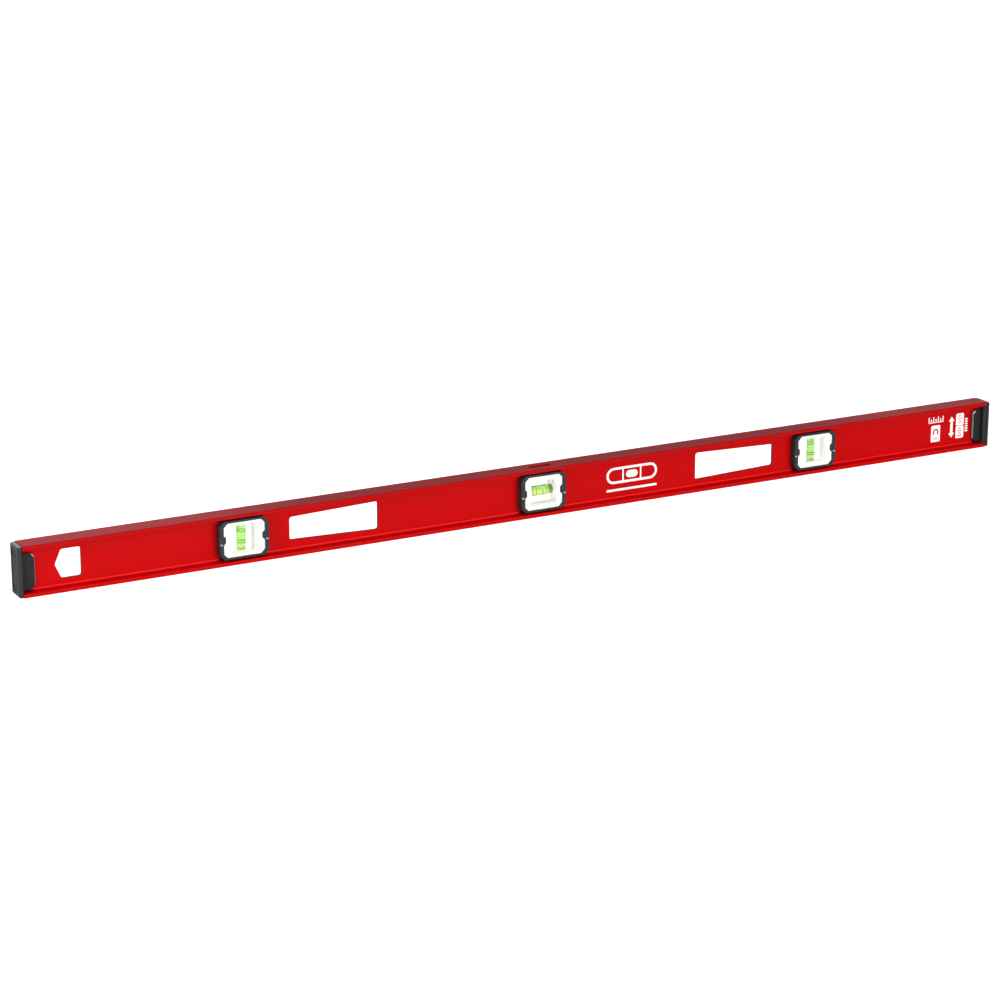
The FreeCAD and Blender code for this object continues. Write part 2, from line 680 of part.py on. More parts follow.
def draw_crowned_bore(sketch):
    """Half of the fluid space: a bore along X that is widest at its middle.

    Its upper side is one arc through the two ends and the middle.
    """
    half = sketch.evalExpression("Dims.cavity_length / 2")
    middle = sketch.evalExpression("Dims.cavity_middle_radius")
    end = sketch.evalExpression("Dims.cavity_end_radius")
    left_foot = FreeCAD.Vector(-half, 0, 0)
    right_foot = FreeCAD.Vector(half, 0, 0)
    left_top = FreeCAD.Vector(-half, end, 0)
    right_top = FreeCAD.Vector(half, end, 0)
    crown = Part.Arc(right_top, FreeCAD.Vector(0, middle, 0), left_top)
    floor = sketch.addGeometry(Part.LineSegment(left_foot, right_foot), False)
    right = sketch.addGeometry(Part.LineSegment(right_foot, right_top), False)
    arc = sketch.addGeometry(crown, False)
    left = sketch.addGeometry(Part.LineSegment(left_top, left_foot), False)
    outline = (floor, right, arc, left)
    for edge, following in zip(outline, outline[1:] + outline[:1]):
        sketch.addConstraint(Sketcher.Constraint("Coincident", edge, 2, following, 1))
    pin(sketch, floor, 1, "DistanceX", "-Dims.cavity_length / 2")
    pin(sketch, floor, 1, "DistanceY", "0")
    pin(sketch, right, 1, "DistanceX", "Dims.cavity_length / 2")
    pin(sketch, right, 1, "DistanceY", "0")
    pin(sketch, right, 2, "DistanceX", "Dims.cavity_length / 2")
    pin(sketch, right, 2, "DistanceY", "Dims.cavity_end_radius")
    pin(sketch, left, 1, "DistanceX", "-Dims.cavity_length / 2")
    pin(sketch, left, 1, "DistanceY", "Dims.cavity_end_radius")
    rise = "(Dims.cavity_middle_radius - Dims.cavity_end_radius)"
    radius = f"(pow(Dims.cavity_length / 2; 2) + pow({rise}; 2)) / (2 * {rise})"
    size = sketch.evalExpression(radius)
    index = sketch.addConstraint(Sketcher.Constraint("Radius", arc, size))
    sketch.setExpression(f"Constraints[{index}]", radius)


def spin(body, kind, sketch):
    """Turn a sketch on the XZ plane once round the X axis, to add or to cut a round shape."""
    feature = body.newObject(kind, "Spin")
    feature.Profile = sketch
    feature.ReferenceAxis = (sketch, ["H_Axis"])
    feature.Angle = 360
    doc.recompute()
    return feature


def make_vial_tube(label, station, rotation):
    """The clear acrylic tube, made along X, open at its +X end for the plug."""
    body = new_body(label)
    outside = new_sketch(body, "Outside", "YZ_Plane")
    draw_circle(outside, "Dims.tube_radius")
    add_pad(body, outside, "Dims.tube_length", symmetric=True)
    bore = new_sketch(body, "CrownedBore", "XZ_Plane")
    draw_crowned_bore(bore)
    spin(body, "PartDesign::Groove", bore)
    mouth = new_sketch(body, "PlugMouth", "YZ_Plane", offset="Dims.cavity_length / 2")
    draw_circle(mouth, "Dims.cavity_end_radius")
    add_pocket(body, mouth, "(Dims.tube_length - Dims.cavity_length) / 2", reverse=True)
    place(body, station, rotation)


def make_vial_plug(label, station, rotation):
    """The round plug that is welded into the tube's mouth."""
    body = new_body(label)
    disc = new_sketch(body, "Disc", "YZ_Plane", offset="Dims.cavity_length / 2")
    draw_circle(disc, "Dims.cavity_end_radius")
    add_pad(body, disc, "(Dims.tube_length - Dims.cavity_length) / 2")
    place(body, station, rotation)


def make_vial_fluid(label, station, rotation):
    """The fluid in the crowned bore, cut away above the bubble's path so the bubble can slide."""
    body = new_body(label)
    filling = new_sketch(body, "Filling", "XZ_Plane")
    draw_crowned_bore(filling)
    spin(body, "PartDesign::Revolution", filling)
    path = new_sketch(
        body, "BubblePath", "XY_Plane", offset="Dims.bubble_floor - Dims.bubble_gap"
    )
    draw_rectangle(path, "Dims.cavity_length", "Dims.tube_radius")
    add_pocket(body, path, "Dims.tube_radius", reverse=True)
    place(body, station, rotation)


def make_vial_bubble(label, station, rotation, upright):
    """The air bubble: a lens of air under the bore, with a flat underside and round ends.

    An upright vial's bubble rests at the upper end of its bore, a level one's in the middle.
    """
    body = new_body(label)
    section = new_sketch(body, "BubbleSection", "YZ_Plane")
    if upright:
        section.setExpression("AttachmentOffset.Base.z", "Dims.bubble_travel")
    radius = section.evalExpression("Dims.bubble_radius")
    floor = section.evalExpression("Dims.bubble_floor")
    half_width = (radius**2 - floor**2) ** 0.5
    left = FreeCAD.Vector(-half_width, floor, 0)
    right = FreeCAD.Vector(half_width, floor, 0)
    back = section.addGeometry(Part.Arc(right, FreeCAD.Vector(0, radius, 0), left), False)
    under = section.addGeometry(Part.LineSegment(left, right), False)
    section.addConstraint(Sketcher.Constraint("Coincident", back, 2, under, 1))
    section.addConstraint(Sketcher.Constraint("Coincident", under, 2, back, 1))
    section.addConstraint(Sketcher.Constraint("Coincident", back, 3, -1, 1))
    section.addConstraint(Sketcher.Constraint("Horizontal", under))
    index = section.addConstraint(Sketcher.Constraint("Radius", back, radius))
    section.setExpression(f"Constraints[{index}]", "Dims.bubble_radius")
    pin(section, under, 1, "DistanceY", "Dims.bubble_floor")
    add_pad(body, section, "Dims.bubble_length", symmetric=True)
    add_fillet(body, "Dims.bubble_rounding", lambda a, b: not runs_along(a, b, 0))
    place(body, station, rotation)


def make_vial_ring(label, station, rotation, sign):
    """A graduation ring round the tube, on the side of the vial's middle that sign gives."""
    outside = doc.addObject("Part::Cylinder", "RingOutside")
    outside.setExpression("Radius", "Dims.tube_radius + Dims.ring_thickness")
    hole = doc.addObject("Part::Cylinder", "RingHole")
    hole.setExpression("Radius", "Dims.tube_radius")
    for cylinder in (outside, hole):
        cylinder.Placement.Rotation = FreeCAD.Rotation(FreeCAD.Vector(0, 1, 0), 90)
        cylinder.setExpression("Height", "Dims.ring_width")
        start = f"{sign}Dims.ring_offset - Dims.ring_width / 2"
        cylinder.setExpression("Placement.Base.x", start)
    ring = doc.addObject("Part::Cut", label)
    ring.Label = label
    ring.Base = outside
    ring.Tool = hole
    made_parts.append(ring)
    place(ring, station, rotation)


def make_top_window():
    """The clear pane under the reading slot, which lies on the level carriers' top."""
    body = new_body("level_top_window")
    pane = new_sketch(body, "Pane", "XY_Plane", offset="Dims.carrier_height / 2")
    draw_rectangle(pane, "Dims.top_window_length / 2", "Dims.top_window_width / 2")
    add_pad(body, pane, "Dims.top_window_thickness")
    corner = body.evalExpression("Dims.top_window_length / 2")
    add_fillet(
        body,
        "Dims.top_window_radius",
        lambda a, b: runs_along(a, b, 2) and abs(abs(a.x) - corner) < 1e-6,
    )
    place(body, "0")


def ring_names(upright):
    """What the rings on a vial's -X and +X sides are called once the vial is in its place."""
    return ("lower", "upper") if upright else ("left", "right")


def make_station(name, station, vial_turn):
    """Every piece of one vial station."""
    upright = name != "level"
    from_above = not upright
    for side, turn in (("front", None), ("rear", HALF_TURN)):
        make_bezel(f"{name}_{side}_bezel", station, turn, from_above)
        make_carrier(f"{name}_{side}_carrier", station, turn, upright, from_above)
        make_lens(f"{name}_{side}_lens", station, turn, upright)
    make_vial_tube(f"{name}_vial_tube", station, vial_turn)
    make_vial_plug(f"{name}_vial_plug", station, vial_turn)
    make_vial_fluid(f"{name}_vial_fluid", station, vial_turn)
    make_vial_bubble(f"{name}_vial_bubble", station, vial_turn, upright)
    for end, sign in zip(ring_names(upright), ("-", "")):
        make_vial_ring(f"{name}_{end}_ring", station, vial_turn, sign)


# ---------------------------------------------------------------------------------------------
# Checks and output
# ---------------------------------------------------------------------------------------------
def check_document():
    """Stop if any object failed to recompute, or a sub-part has no valid shape."""
    doc.recompute()
    for item in doc.Objects:
        if "Invalid" in item.State or "Error" in item.State:
            raise RuntimeError(f"{item.Label} failed to recompute: {item.State}")
    for part in made_parts:
        if part.Shape.isNull() or not part.Shape.isValid() or not part.Shape.Solids:
            raise RuntimeError(f"{part.Label} has no valid solid")


def write_steps():
    """Write each sub-part's shape to a STEP file that has its name."""
    os.makedirs(STEP_FOLDER, exist_ok=True)
    for part in made_parts:
        part.Shape.exportStep(os.path.join(STEP_FOLDER, f"{part.Label}.step"))
        box = part.Shape.BoundBox
        print(
            f"{part.Label:26s} solids {len(part.Shape.Solids)}  {part.Shape.Volume:10.1f} mm3  "
            f"x {box.XMin:8.2f} {box.XMax:8.2f}  y {box.YMin:7.2f} {box.YMax:7.2f}  "
            f"z {box.ZMin:6.2f} {box.ZMax:6.2f}"
        )


dims = make_sheet()
make_beam(dims)
make_magnet_strip()
make_end_cap("left_end_cap", "-(Dims.beam_length / 2 + Dims.cap_gap)", HALF_TURN)
make_end_cap("right_end_cap", "Dims.beam_length / 2 + Dims.cap_gap", None)
for station_name, station_place, turned in STATIONS:
    make_station(station_name, station_place, turned)
make_top_window()
check_document()
write_steps()
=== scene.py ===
"""Finished look of an I-beam spirit level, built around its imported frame.

Sizes are millimetres unless a name says otherwise, and become metres where a mesh is written. The
frame's axes are +X along the level to its right end, +Y to its rear and +Z up.
"""

import logging
import math
from dataclasses import dataclass, field
from enum import Enum
from typing import Any, Dict, List, Optional, Sequence, Tuple, Union

import bmesh
import bpy
import numpy as np
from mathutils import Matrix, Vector


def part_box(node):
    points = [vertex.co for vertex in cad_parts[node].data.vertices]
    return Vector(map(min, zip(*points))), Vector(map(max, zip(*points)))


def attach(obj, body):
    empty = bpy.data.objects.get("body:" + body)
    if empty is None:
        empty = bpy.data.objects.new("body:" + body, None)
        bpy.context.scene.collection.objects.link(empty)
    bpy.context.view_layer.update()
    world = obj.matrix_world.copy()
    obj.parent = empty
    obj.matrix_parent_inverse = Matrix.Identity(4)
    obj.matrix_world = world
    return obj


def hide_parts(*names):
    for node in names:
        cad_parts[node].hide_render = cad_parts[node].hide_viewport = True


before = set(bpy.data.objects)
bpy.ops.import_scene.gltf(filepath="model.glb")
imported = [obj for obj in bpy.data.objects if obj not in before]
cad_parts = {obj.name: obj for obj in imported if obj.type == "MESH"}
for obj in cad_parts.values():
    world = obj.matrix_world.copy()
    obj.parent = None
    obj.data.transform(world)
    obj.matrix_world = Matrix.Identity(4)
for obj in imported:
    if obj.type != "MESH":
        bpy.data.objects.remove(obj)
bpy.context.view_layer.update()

LOG = logging.getLogger("spirit_level")
MM = 0.001
ROOT_BODY = "beam"

Array = np.ndarray
Key = Union[int, str]
Source = Union[bpy.types.Node, bpy.types.NodeSocket]
Colour = Union[str, bpy.types.NodeSocket]
Layer = Tuple[Colour, Sequence["Fade"]]


class Axis(Enum):
    """Directions in the row's frame, as weights on a point's coordinates."""

    ALONG = (1.0, 0.0, 0.0)
    DEPTH = (0.0, 1.0, 0.0)
    UP = (0.0, 0.0, 1.0)
    OUT_AND_DOWN = (1.0, 0.0, -1.0)


class Side(Enum):
    """The two ends of the level. The value is the sign of X there."""

    LEFT = -1
    RIGHT = 1


class Face(Enum):
    """The two sides of the web that carry vial fittings."""

    FRONT = "front"
    REAR = "rear"


def box_mm(node: str) -> Tuple[Array, Array]:
    """Lowest and highest corner of a CAD node, in millimetres."""
    low, high = (np.array(corner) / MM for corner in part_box(node))
    return low, high


# ------------------------------------------------------------------------------------------------
# Colour and shader nodes
# ------------------------------------------------------------------------------------------------
def linear(hex_colour: str) -> Tuple[float, float, float, float]:
    """Turn an sRGB hex colour into linear RGBA.

    Args:
        hex_colour: Six hex digits with a leading hash.

    Returns:
        The linear colour with an alpha of one.
    """
    channels = [int(hex_colour[i : i + 2], 16) / 255 for i in (1, 3, 5)]
    curved = [c / 12.92 if c <= 0.04045 else ((c + 0.055) / 1.055) ** 2.4 for c in channels]
    return (curved[0], curved[1], curved[2], 1.0)


def add_node(
    material: bpy.types.Material,
    kind: str,
    settings: Optional[Dict[Key, Any]] = None,
    links: Optional[Dict[Key, Source]] = None,
) -> bpy.types.Node:
    """Add a shader node with its settings and links.

    Args:
        material: The material (or world) whose tree gets the node.
        kind: The node type's name.
        settings: Input sockets by name or index, or properties by name, with their values. A
            hex colour is made linear.
        links: Input sockets by name or index, each with the output socket that feeds it, or with
            a node whose first output does.

    Returns:
        The new node.
    """
    tree = material.node_tree
    node = tree.nodes.new(kind)
    for key, value in (settings or {}).items():
        if isinstance(value, str) and value.startswith("#"):
            value = linear(value)
        if isinstance(key, int) or key in node.inputs:
            node.inputs[key].default_value = value
        else:
            setattr(node, key, value)
    for key, source in (links or {}).items():
        output = source.outputs[0] if isinstance(source, bpy.types.Node) else source
        tree.links.new(output, node.inputs[key])
    return node


def new_material(name: str) -> bpy.types.Material:
    """Start an empty node material."""
    material = bpy.data.materials.new(name)
    material.use_nodes = True
    material.node_tree.nodes.clear()
    return material


def finish_output(material: bpy.types.Material, surface: Source) -> bpy.types.Material:
    """Connect a shader to the material's output."""
    add_node(material, "ShaderNodeOutputMaterial", None, {"Surface": surface})
    return material


@dataclass(frozen=True)
class Fade:
    """A share from 0 to 1 that says where on the level a colour lies.

    Its measure is axis . |point - centre|, where |...| takes each coordinate's distance by
    itself. The share changes evenly with the measure and stays at 0 or 1 beyond its two ends.

    Attributes:
        axis: Which coordinates count.
        zero: Measure at which the share is 0, in millimetres.
        full: Measure at which it is 1, in millimetres.
        centre: Where the coordinates are measured from, in millimetres.
    """

    axis: Axis
    zero: float
    full: float
    centre: Tuple[float, float, float] = (0.0, 0.0, 0.0)


def overlap(material: bpy.types.Material, fades: Sequence[Fade]) -> bpy.types.Node:
    """Multiply the shares of some fades, which gives 1 only where each of them does."""
    share = None
    for fade in fades:
        point = add_node(material, "ShaderNodeTexCoord").outputs["Object"]
        centre = [float(value) * MM for value in fade.centre]
        settings: Dict[Key, Any] = {"operation": "SUBTRACT", 1: centre}
        offset = add_node(material, "ShaderNodeVectorMath", settings, {0: point})
        settings = {"operation": "ABSOLUTE"}
        distance = add_node(material, "ShaderNodeVectorMath", settings, {0: offset})
        settings = {"operation": "DOT_PRODUCT", 1: fade.axis.value}
        measure = add_node(material, "ShaderNodeVectorMath", settings, {0: distance})
        settings = {"From Min": fade.zero * MM, "From Max": fade.full * MM}
        step = add_node(material, "ShaderNodeMapRange", settings, {0: measure.outputs["Value"]})
        if share is not None:
            settings = {"operation": "MULTIPLY"}
            step = add_node(material, "ShaderNodeMath", settings, {0: share, 1: step})
        share = step
    return share


def paint(material: bpy.types.Material, colour: Colour, layers: Sequence[Layer]) -> Colour:
    """Lay colours over one another.

    Args:
        material: The material that they belong to.
        colour: What lies under all of them.
        layers: Each further colour with the fades inside which it covers those before it.

    Returns:
        The colour that shows.
    """
    under_socket, over_socket = 6, 7
    for over, fades in layers:
        settings: Dict[Key, Any] = {"data_type": "RGBA"}
        links: Dict[Key, Source] = {0: overlap(material, fades)}
        for socket, tone in ((under_socket, colour), (over_socket, over)):
            (settings if isinstance(tone, str) else links)[socket] = tone
        colour = add_node(material, "ShaderNodeMix", settings, links).outputs[2]
    return colour


# ------------------------------------------------------------------------------------------------
# Finishes
# ------------------------------------------------------------------------------------------------
@dataclass(frozen=True)
class Grain:
    """A noise that gives a surface its relief and its small changes of tone and gloss.

    Attributes:
        size_mm: Width of its features.
        relief_mm: Height of the bump that it makes.
        stretch: Factors on the row's axes, small along the way the surface was drawn or cut.
        detail: How many finer noises are added to it.
    """

    size_mm: float
    relief_mm: float = 0.0
    stretch: Tuple[float, float, float] = (1.0, 1.0, 1.0)
    detail: float = 3.0

    def noise(self, material: bpy.types.Material) -> bpy.types.Node:
        """Add the noise, on object coordinates."""
        point = add_node(material, "ShaderNodeTexCoord").outputs["Object"]
        drawn = add_node(material, "ShaderNodeMapping", {"Scale": self.stretch}, {"Vector": point})
        settings = {"Scale": 1.0 / (self.size_mm * MM), "Detail": self.detail}
        return add_node(material, "ShaderNodeTexNoise", settings, {"Vector": drawn})

    def spread(
        self,
        material: bpy.types.Material,
        source: Tuple[float, float],
        target: Tuple[float, float] = (0.0, 1.0),
    ) -> bpy.types.Node:
        """Stretch a range of the noise over a range of values, held inside them."""
        settings = {
            "From Min": source[0],
            "From Max": source[1],
            "To Min": target[0],
            "To Max": target[1],
        }
        return add_node(material, "ShaderNodeMapRange", settings, {0: self.noise(material)})

    def gloss(self, material: bpy.types.Material, low: float, high: float) -> bpy.types.Node:
        """A roughness that the noise moves between two values."""
        return self.spread(material, (0.3, 0.7), (low, high))

    def tones(
        self,
        material: bpy.types.Material,
        first: str,
        second: str,
        source: Tuple[float, float] = (0.0, 1.0),
    ) -> bpy.types.NodeSocket:
        """Mix two hex colours by the noise, from the first at its low values to the second."""
        settings = {"data_type": "RGBA", 6: first, 7: second}
        share = self.spread(material, source)
        return add_node(material, "ShaderNodeMix", settings, {0: share}).outputs[2]

    def bump(
        self, material: bpy.types.Material, below: Optional[bpy.types.Node] = None
    ) -> bpy.types.Node:
        """Turn the noise into a normal, on top of the normal below if there is one."""
        settings = {"Strength": 1.0, "Distance": self.relief_mm * MM}
        links: Dict[Key, Source] = {"Height": self.noise(material)}
        if below is not None:
            links["Normal"] = below
        return add_node(material, "ShaderNodeBump", settings, links)


@dataclass(frozen=True)
class PowderCoat:
    """Red polyester powder coat on extruded aluminium.

    It is sprayed and baked, which leaves a satin skin with a faint orange peel over the
    lengthwise lines of the extrusion. The two working faces are milled flat before coating, so
    they look duller and greyer, with fine streaks along the beam, and they are paler towards
    both ends of the beam. Painted shade darkens the flange's front towards the upper face, and a
    painted highlight lies as a brighter line in the fillet at the web's foot. Painted shadow
    darkens that fillet under the bezels and the caps' plugs, and painted shade darkens the walls
    of the holes through the web.
    """

    colour: str = "#BE0003"
    shade: str = "#B20002"
    milled: str = "#8C2B2F"
    milled_streak: str = "#973539"
    # Paler tone of the working faces towards both ends of the beam.
    milled_end: str = "#A63F43"
    # Painted shade on the flange's front beside the upper face.
    painted_flange_shade: str = "#93060B"
    # Painted highlight: a brighter line in the fillet at the web's foot.
    painted_fillet_highlight: str = "#D4161D"
    # Painted shadow in the web-foot fillet under the bezels and the caps' plugs.
    painted_fillet_shadow: str = "#2A0204"
    # Painted shade on the walls of the holes through the web.
    painted_hole_shade: str = "#5A0206"
    roughness: Tuple[float, float] = (0.34, 0.44)
    specular: float = 0.08
    peel: Grain = Grain(0.9, 0.006)
    lines: Grain = Grain(0.7, 0.004, (0.012, 1.0, 1.0))
    patches: Grain = Grain(70.0, detail=1.0)
    mill_depth_mm: float = 0.03
    web_half_mm: float = 1.4
    flange_shade_mm: Tuple[float, float] = (3.4, 0.3)
    paler_ends_middle_mm: float = 30.0
    paler_ends_mm: Tuple[float, float] = (320.0, 440.0)
    fillet_highlight_mm: Tuple[float, float, float, float] = (4.7, 5.1, 5.9, 6.6)
    fillet_shadow_mm: Tuple[float, float, float, float] = (4.15, 4.4, 6.6, 8.6)
    fillet_shadow_fade_mm: float = 4.5

    def band(self, edges: Tuple[float, float, float, float]) -> List[Fade]:
        """Heights from the first two edges, where it rises, to the last two, where it falls."""
        return [Fade(Axis.UP, edges[0], edges[1]), Fade(Axis.UP, edges[3], edges[2])]

    def shadowed_fillet(self, node: str) -> List[Fade]:
        """The fillet under a CAD node, where shadow is painted."""
        low, high = box_mm(node)
        half, middle = (high[0] - low[0]) / 2, (low[0] + high[0]) / 2
        under = Fade(Axis.ALONG, half, half - self.fillet_shadow_fade_mm, (middle, 0.0, 0.0))
        return [*self.band(self.fillet_shadow_mm), under]

    def build(self, beam: str, fitted: Sequence[str]) -> bpy.types.Material:
        """Make the material.

        Args:
            beam: The beam's CAD node, which gives where its working faces are.
            fitted: CAD nodes that stand over the fillet at the web's foot, where shadow is painted.

        Returns:
            The material.
        """
        low, high = box_mm(beam)
        base, top, depth, wall = low[2], high[2], self.mill_depth_mm, self.web_half_mm
        material = new_material("red_powder_coat_on_aluminium")
        milled = self.lines.tones(material, self.milled, self.milled_streak, (0.35, 0.65))
        # Paler towards both ends of the beam.
        paler_ends = Fade(Axis.ALONG, *self.paler_ends_mm, centre=(self.paler_ends_middle_mm, 0.0, 0.0))
        milled = paint(material, milled, [(self.milled_end, [paler_ends])])
        # Where the painted shade on the upper flange starts and where it is full.
        thin, full = self.flange_shade_mm
        layers: List[Layer] = [
            (self.painted_flange_shade, [Fade(Axis.UP, top - thin, top - full)]),
            # Painted highlight: a brighter line in the fillet at the web's foot.
            (self.painted_fillet_highlight, self.band(self.fillet_highlight_mm)),
            # Painted shadow in that fillet under each fitted node.
            *((self.painted_fillet_shadow, self.shadowed_fillet(node)) for node in fitted),
            # Painted shade on the walls of the holes through the web.
            (self.painted_hole_shade, [Fade(Axis.DEPTH, wall * 0.97, wall * 0.9)]),
            (milled, [Fade(Axis.UP, top - depth, top - depth / 2)]),
            (milled, [Fade(Axis.UP, base + depth, base + depth / 2)]),
        ]
        skin = self.patches.tones(material, self.colour, self.shade)
        surface = add_node(
            material,
            "ShaderNodeBsdfPrincipled",
            {"Specular IOR Level": self.specular, "IOR": 1.5},
            {
                "Base Color": paint(material, skin, layers),
                "Roughness": self.lines.gloss(material, *self.roughness),
                "Normal": self.peel.bump(material, self.lines.bump(material)),
            },
        )
        return finish_output(material, surface)


@dataclass(frozen=True)
class MouldedPlastic:
    """An opaque injection-moulded plastic or rubber.

    The mould's spark-eroded texture gives a fine even grain, and slow changes of tone come from
    the way the melt flowed.

    Attributes:
        name: What the material is called.
        colour: Its colour.
        flow_colour: The tone that it drifts to in places.
        roughness: Mean roughness.
        specular: Strength of its reflection, 0.5 for an IOR of 1.5.
        grain: The mould's texture.
        glow: Painted glow that brightens the plastic, standing in for light that has spread inside
            it.
    """

    name: str
    colour: str
    flow_colour: str
    roughness: float
    specular: float
    grain: Grain
    flow: Grain = Grain(9.0, detail=1.0)
    glow: float = 0.0

    def build(self, layers: Sequence[Layer] = ()) -> bpy.types.Material:
        """Make the material, with what lies on it in places."""
        material = new_material(self.name)
        flow = self.flow.tones(material, self.colour, self.flow_colour)
        colour = paint(material, flow, layers)
        # Any glow is painted light.
        surface = add_node(
            material,
            "ShaderNodeBsdfPrincipled",
            {"Specular IOR Level": self.specular, "Emission Strength": self.glow},
            {
                "Base Color": colour,
                "Emission Color": colour,
                "Roughness": self.grain.gloss(
                    material, self.roughness - 0.06, self.roughness + 0.06
                ),
                "Normal": self.grain.bump(material),
            },
        )
        return finish_output(material, surface)


@dataclass(frozen=True)
class CapRubber:
    """Grey thermoplastic rubber, moulded in one piece.

    The plate comes from a spark-eroded half of the mould and looks matt. The plugs come from a
    polished half, so they look wetter, and their darker colour is partly that polish and partly
    painted shade in the beam's channel. Painted highlights make the plugs' end walls and upper
    corners and the plate's upper edge pale, and painted light makes the plate's face towards the
    beam paler. The raised rim round the sunk panel carries a painted highlight and the panel
    painted shade. The lip against the beam lies in its own shade.

    Attributes:
        plate: The plate's colour.
        plate_flow: The tone that the plate drifts to in places.
        rim: Painted highlight: the colour of the raised rim round the plate's sunk panel.
        panel: Painted shade: the colour of the sunk panel.
        inner: Colour of the plate's face towards the beam, lightened as painted light.
        plug: Colour of the plugs, darker partly for their polish and partly as painted shade.
        recess: Colour of the plugs beside the plate, where no light gets in.
        painted_end_highlight: Painted highlight: the colour of the plugs' end walls.
        tip: Painted highlight: the colour of their upper corners.
        upper: Colour of the plate's upper edge, lightened as painted light from above.
        lip: Colour of the lip beside the beam.
        soft_mm: Half the width over which one colour runs into the next.
    """

    plate: str = "#242628"
    plate_flow: str = "#2A2C2E"
    rim: str = "#404345"
    panel: str = "#1F2123"
    inner: str = "#505456"
    plug: str = "#131516"
    recess: str = "#050606"
    painted_end_highlight: str = "#869A9B"
    tip: str = "#D8E2E2"
    upper: str = "#85898B"
    lip: str = "#0A0B0C"
    specular: float = 0.3
    grain: Grain = Grain(0.6, 0.03)
    flow: Grain = Grain(9.0, detail=1.0)
    plate_mm: float = 4.8
    plug_top_mm: float = 18.0
    plug_corner_mm: float = 4.3
    lip_mm: float = 1.2
    panel_mm: float = 0.8
    recess_mm: Tuple[float, float] = (7.2, 5.2)
    soft_mm: float = 0.15

    def within(self, limit: float, axis: Axis = Axis.ALONG) -> Fade:
        """Where the measure along an axis is less than a limit."""
        return Fade(axis, limit + self.soft_mm, limit - self.soft_mm)

    def build(self, node: str) -> bpy.types.Material:
        """Make the material for one cap.

        Args:
            node: The cap's CAD node, which gives where its plate and plugs are.

        Returns:
            The material.
        """
        low, high = box_mm(node)
        inner_end, outer_end = sorted(np.abs([low[0], high[0]]))
        side, top, middle_z = high[1], high[2], (low[2] + high[2]) / 2
        seat = outer_end - self.plate_mm
        end_face = [
            Fade(Axis.DEPTH, side - 1.0, side - 1.3),
            Fade(Axis.ALONG, seat + 2.0, seat + 2.5),
        ]
        raised = Fade(Axis.ALONG, outer_end - self.panel_mm, outer_end - 0.1)
        plug = self.within(seat - 0.3)
        deep, shallow = (seat - offset for offset in self.recess_mm)
        outside = Fade(Axis.DEPTH, 3.2, 3.5)
        slope = inner_end - middle_z - self.plug_top_mm + self.plug_corner_mm + 0.6
        corner = [self.within(slope, Axis.OUT_AND_DOWN), self.within(inner_end + 3.2), outside]
        layers: List[Layer] = [
            # Painted shade in the sunk panel.
            (self.panel, end_face),
            # Painted highlight on the raised rim round it.
            (self.rim, [*end_face, raised]),
            # Painted light on the plate's upper edge.
            (self.upper, [Fade(Axis.UP, top - 0.5, top - 0.2)]),
            # Painted light on the plate's face towards the beam.
            (self.inner, [self.within(seat + 0.2), Fade(Axis.DEPTH, side - 0.3, side - 0.6)]),
            (
                self.lip,
                [self.within(seat + self.lip_mm), Fade(Axis.DEPTH, side - 0.6, side - 0.3)],
            ),
            # Darker plugs: partly their polished finish, partly painted shade in the beam's
            # channel.
            (self.plug, [plug]),
            (self.recess, [plug, Fade(Axis.ALONG, deep, shallow)]),
            # Painted highlight on the plugs' end walls.
            (self.painted_end_highlight, [self.within(inner_end + 0.3), outside]),
            # Painted highlight on the plugs' upper corners.
            (self.tip, corner),
        ]
        material = new_material("moulded_cap_rubber")
        flow = self.flow.tones(material, self.plate, self.plate_flow)
        wetter = {"operation": "MULTIPLY_ADD", 1: -0.2}
        matt = self.grain.gloss(material, 0.5, 0.62)
        surface = add_node(
            material,
            "ShaderNodeBsdfPrincipled",
            {"Specular IOR Level": self.specular},
            {
                "Base Color": paint(material, flow, layers),
                "Roughness": add_node(
                    material, "ShaderNodeMath", wetter, {0: overlap(material, [plug]), 2: matt}
                ),
                "Normal": self.grain.bump(material),
            },
        )
        return finish_output(material, surface)


@dataclass(frozen=True)
class BondedFerrite:
    """A flexible ferrite magnet: black-brown powder bound in rubber and extruded.

    The powder shows as a dull speckle and the die leaves lines along the strip.
    """

    colour: str = "#1E1C1B"
    speckle: str = "#3B3733"
    powder: Grain = Grain(0.35, 0.01, detail=4.0)
    die_lines: Grain = Grain(0.8, 0.02, (0.01, 1.0, 1.0))

    def build(self) -> bpy.types.Material:
        """Make the material."""
        material = new_material("bonded_ferrite_strip")
        surface = add_node(
            material,
            "ShaderNodeBsdfPrincipled",
            {"Specular IOR Level": 0.3},
            {
                "Base Color": self.powder.tones(material, self.colour, self.speckle, (0.5, 0.7)),
                "Roughness": self.die_lines.gloss(material, 0.6, 0.8),
                "Normal": self.powder.bump(material, self.die_lines.bump(material)),
            },
        )
        return finish_output(material, surface)


@dataclass(frozen=True)
class ScreenInk:
    """Screen-printed ink: flat and opaque, as faintly uneven as the mesh that it went through."""

    name: str
    colour: str
    worn: str
    roughness: Tuple[float, float] = (0.4, 0.53)
    weave: Grain = Grain(0.4, 0.003)

    def build(self) -> bpy.types.Material:
        """Make the material."""
        material = new_material(self.name)
        surface = add_node(
            material,
            "ShaderNodeBsdfPrincipled",
            {"Specular IOR Level": 0.3},
            {
                "Base Color": self.weave.tones(material, self.colour, self.worn, (0.45, 0.8)),
                "Roughness": self.weave.gloss(material, *self.roughness),
                "Normal": self.weave.bump(material),
            },
        )
        return finish_output(material, surface)


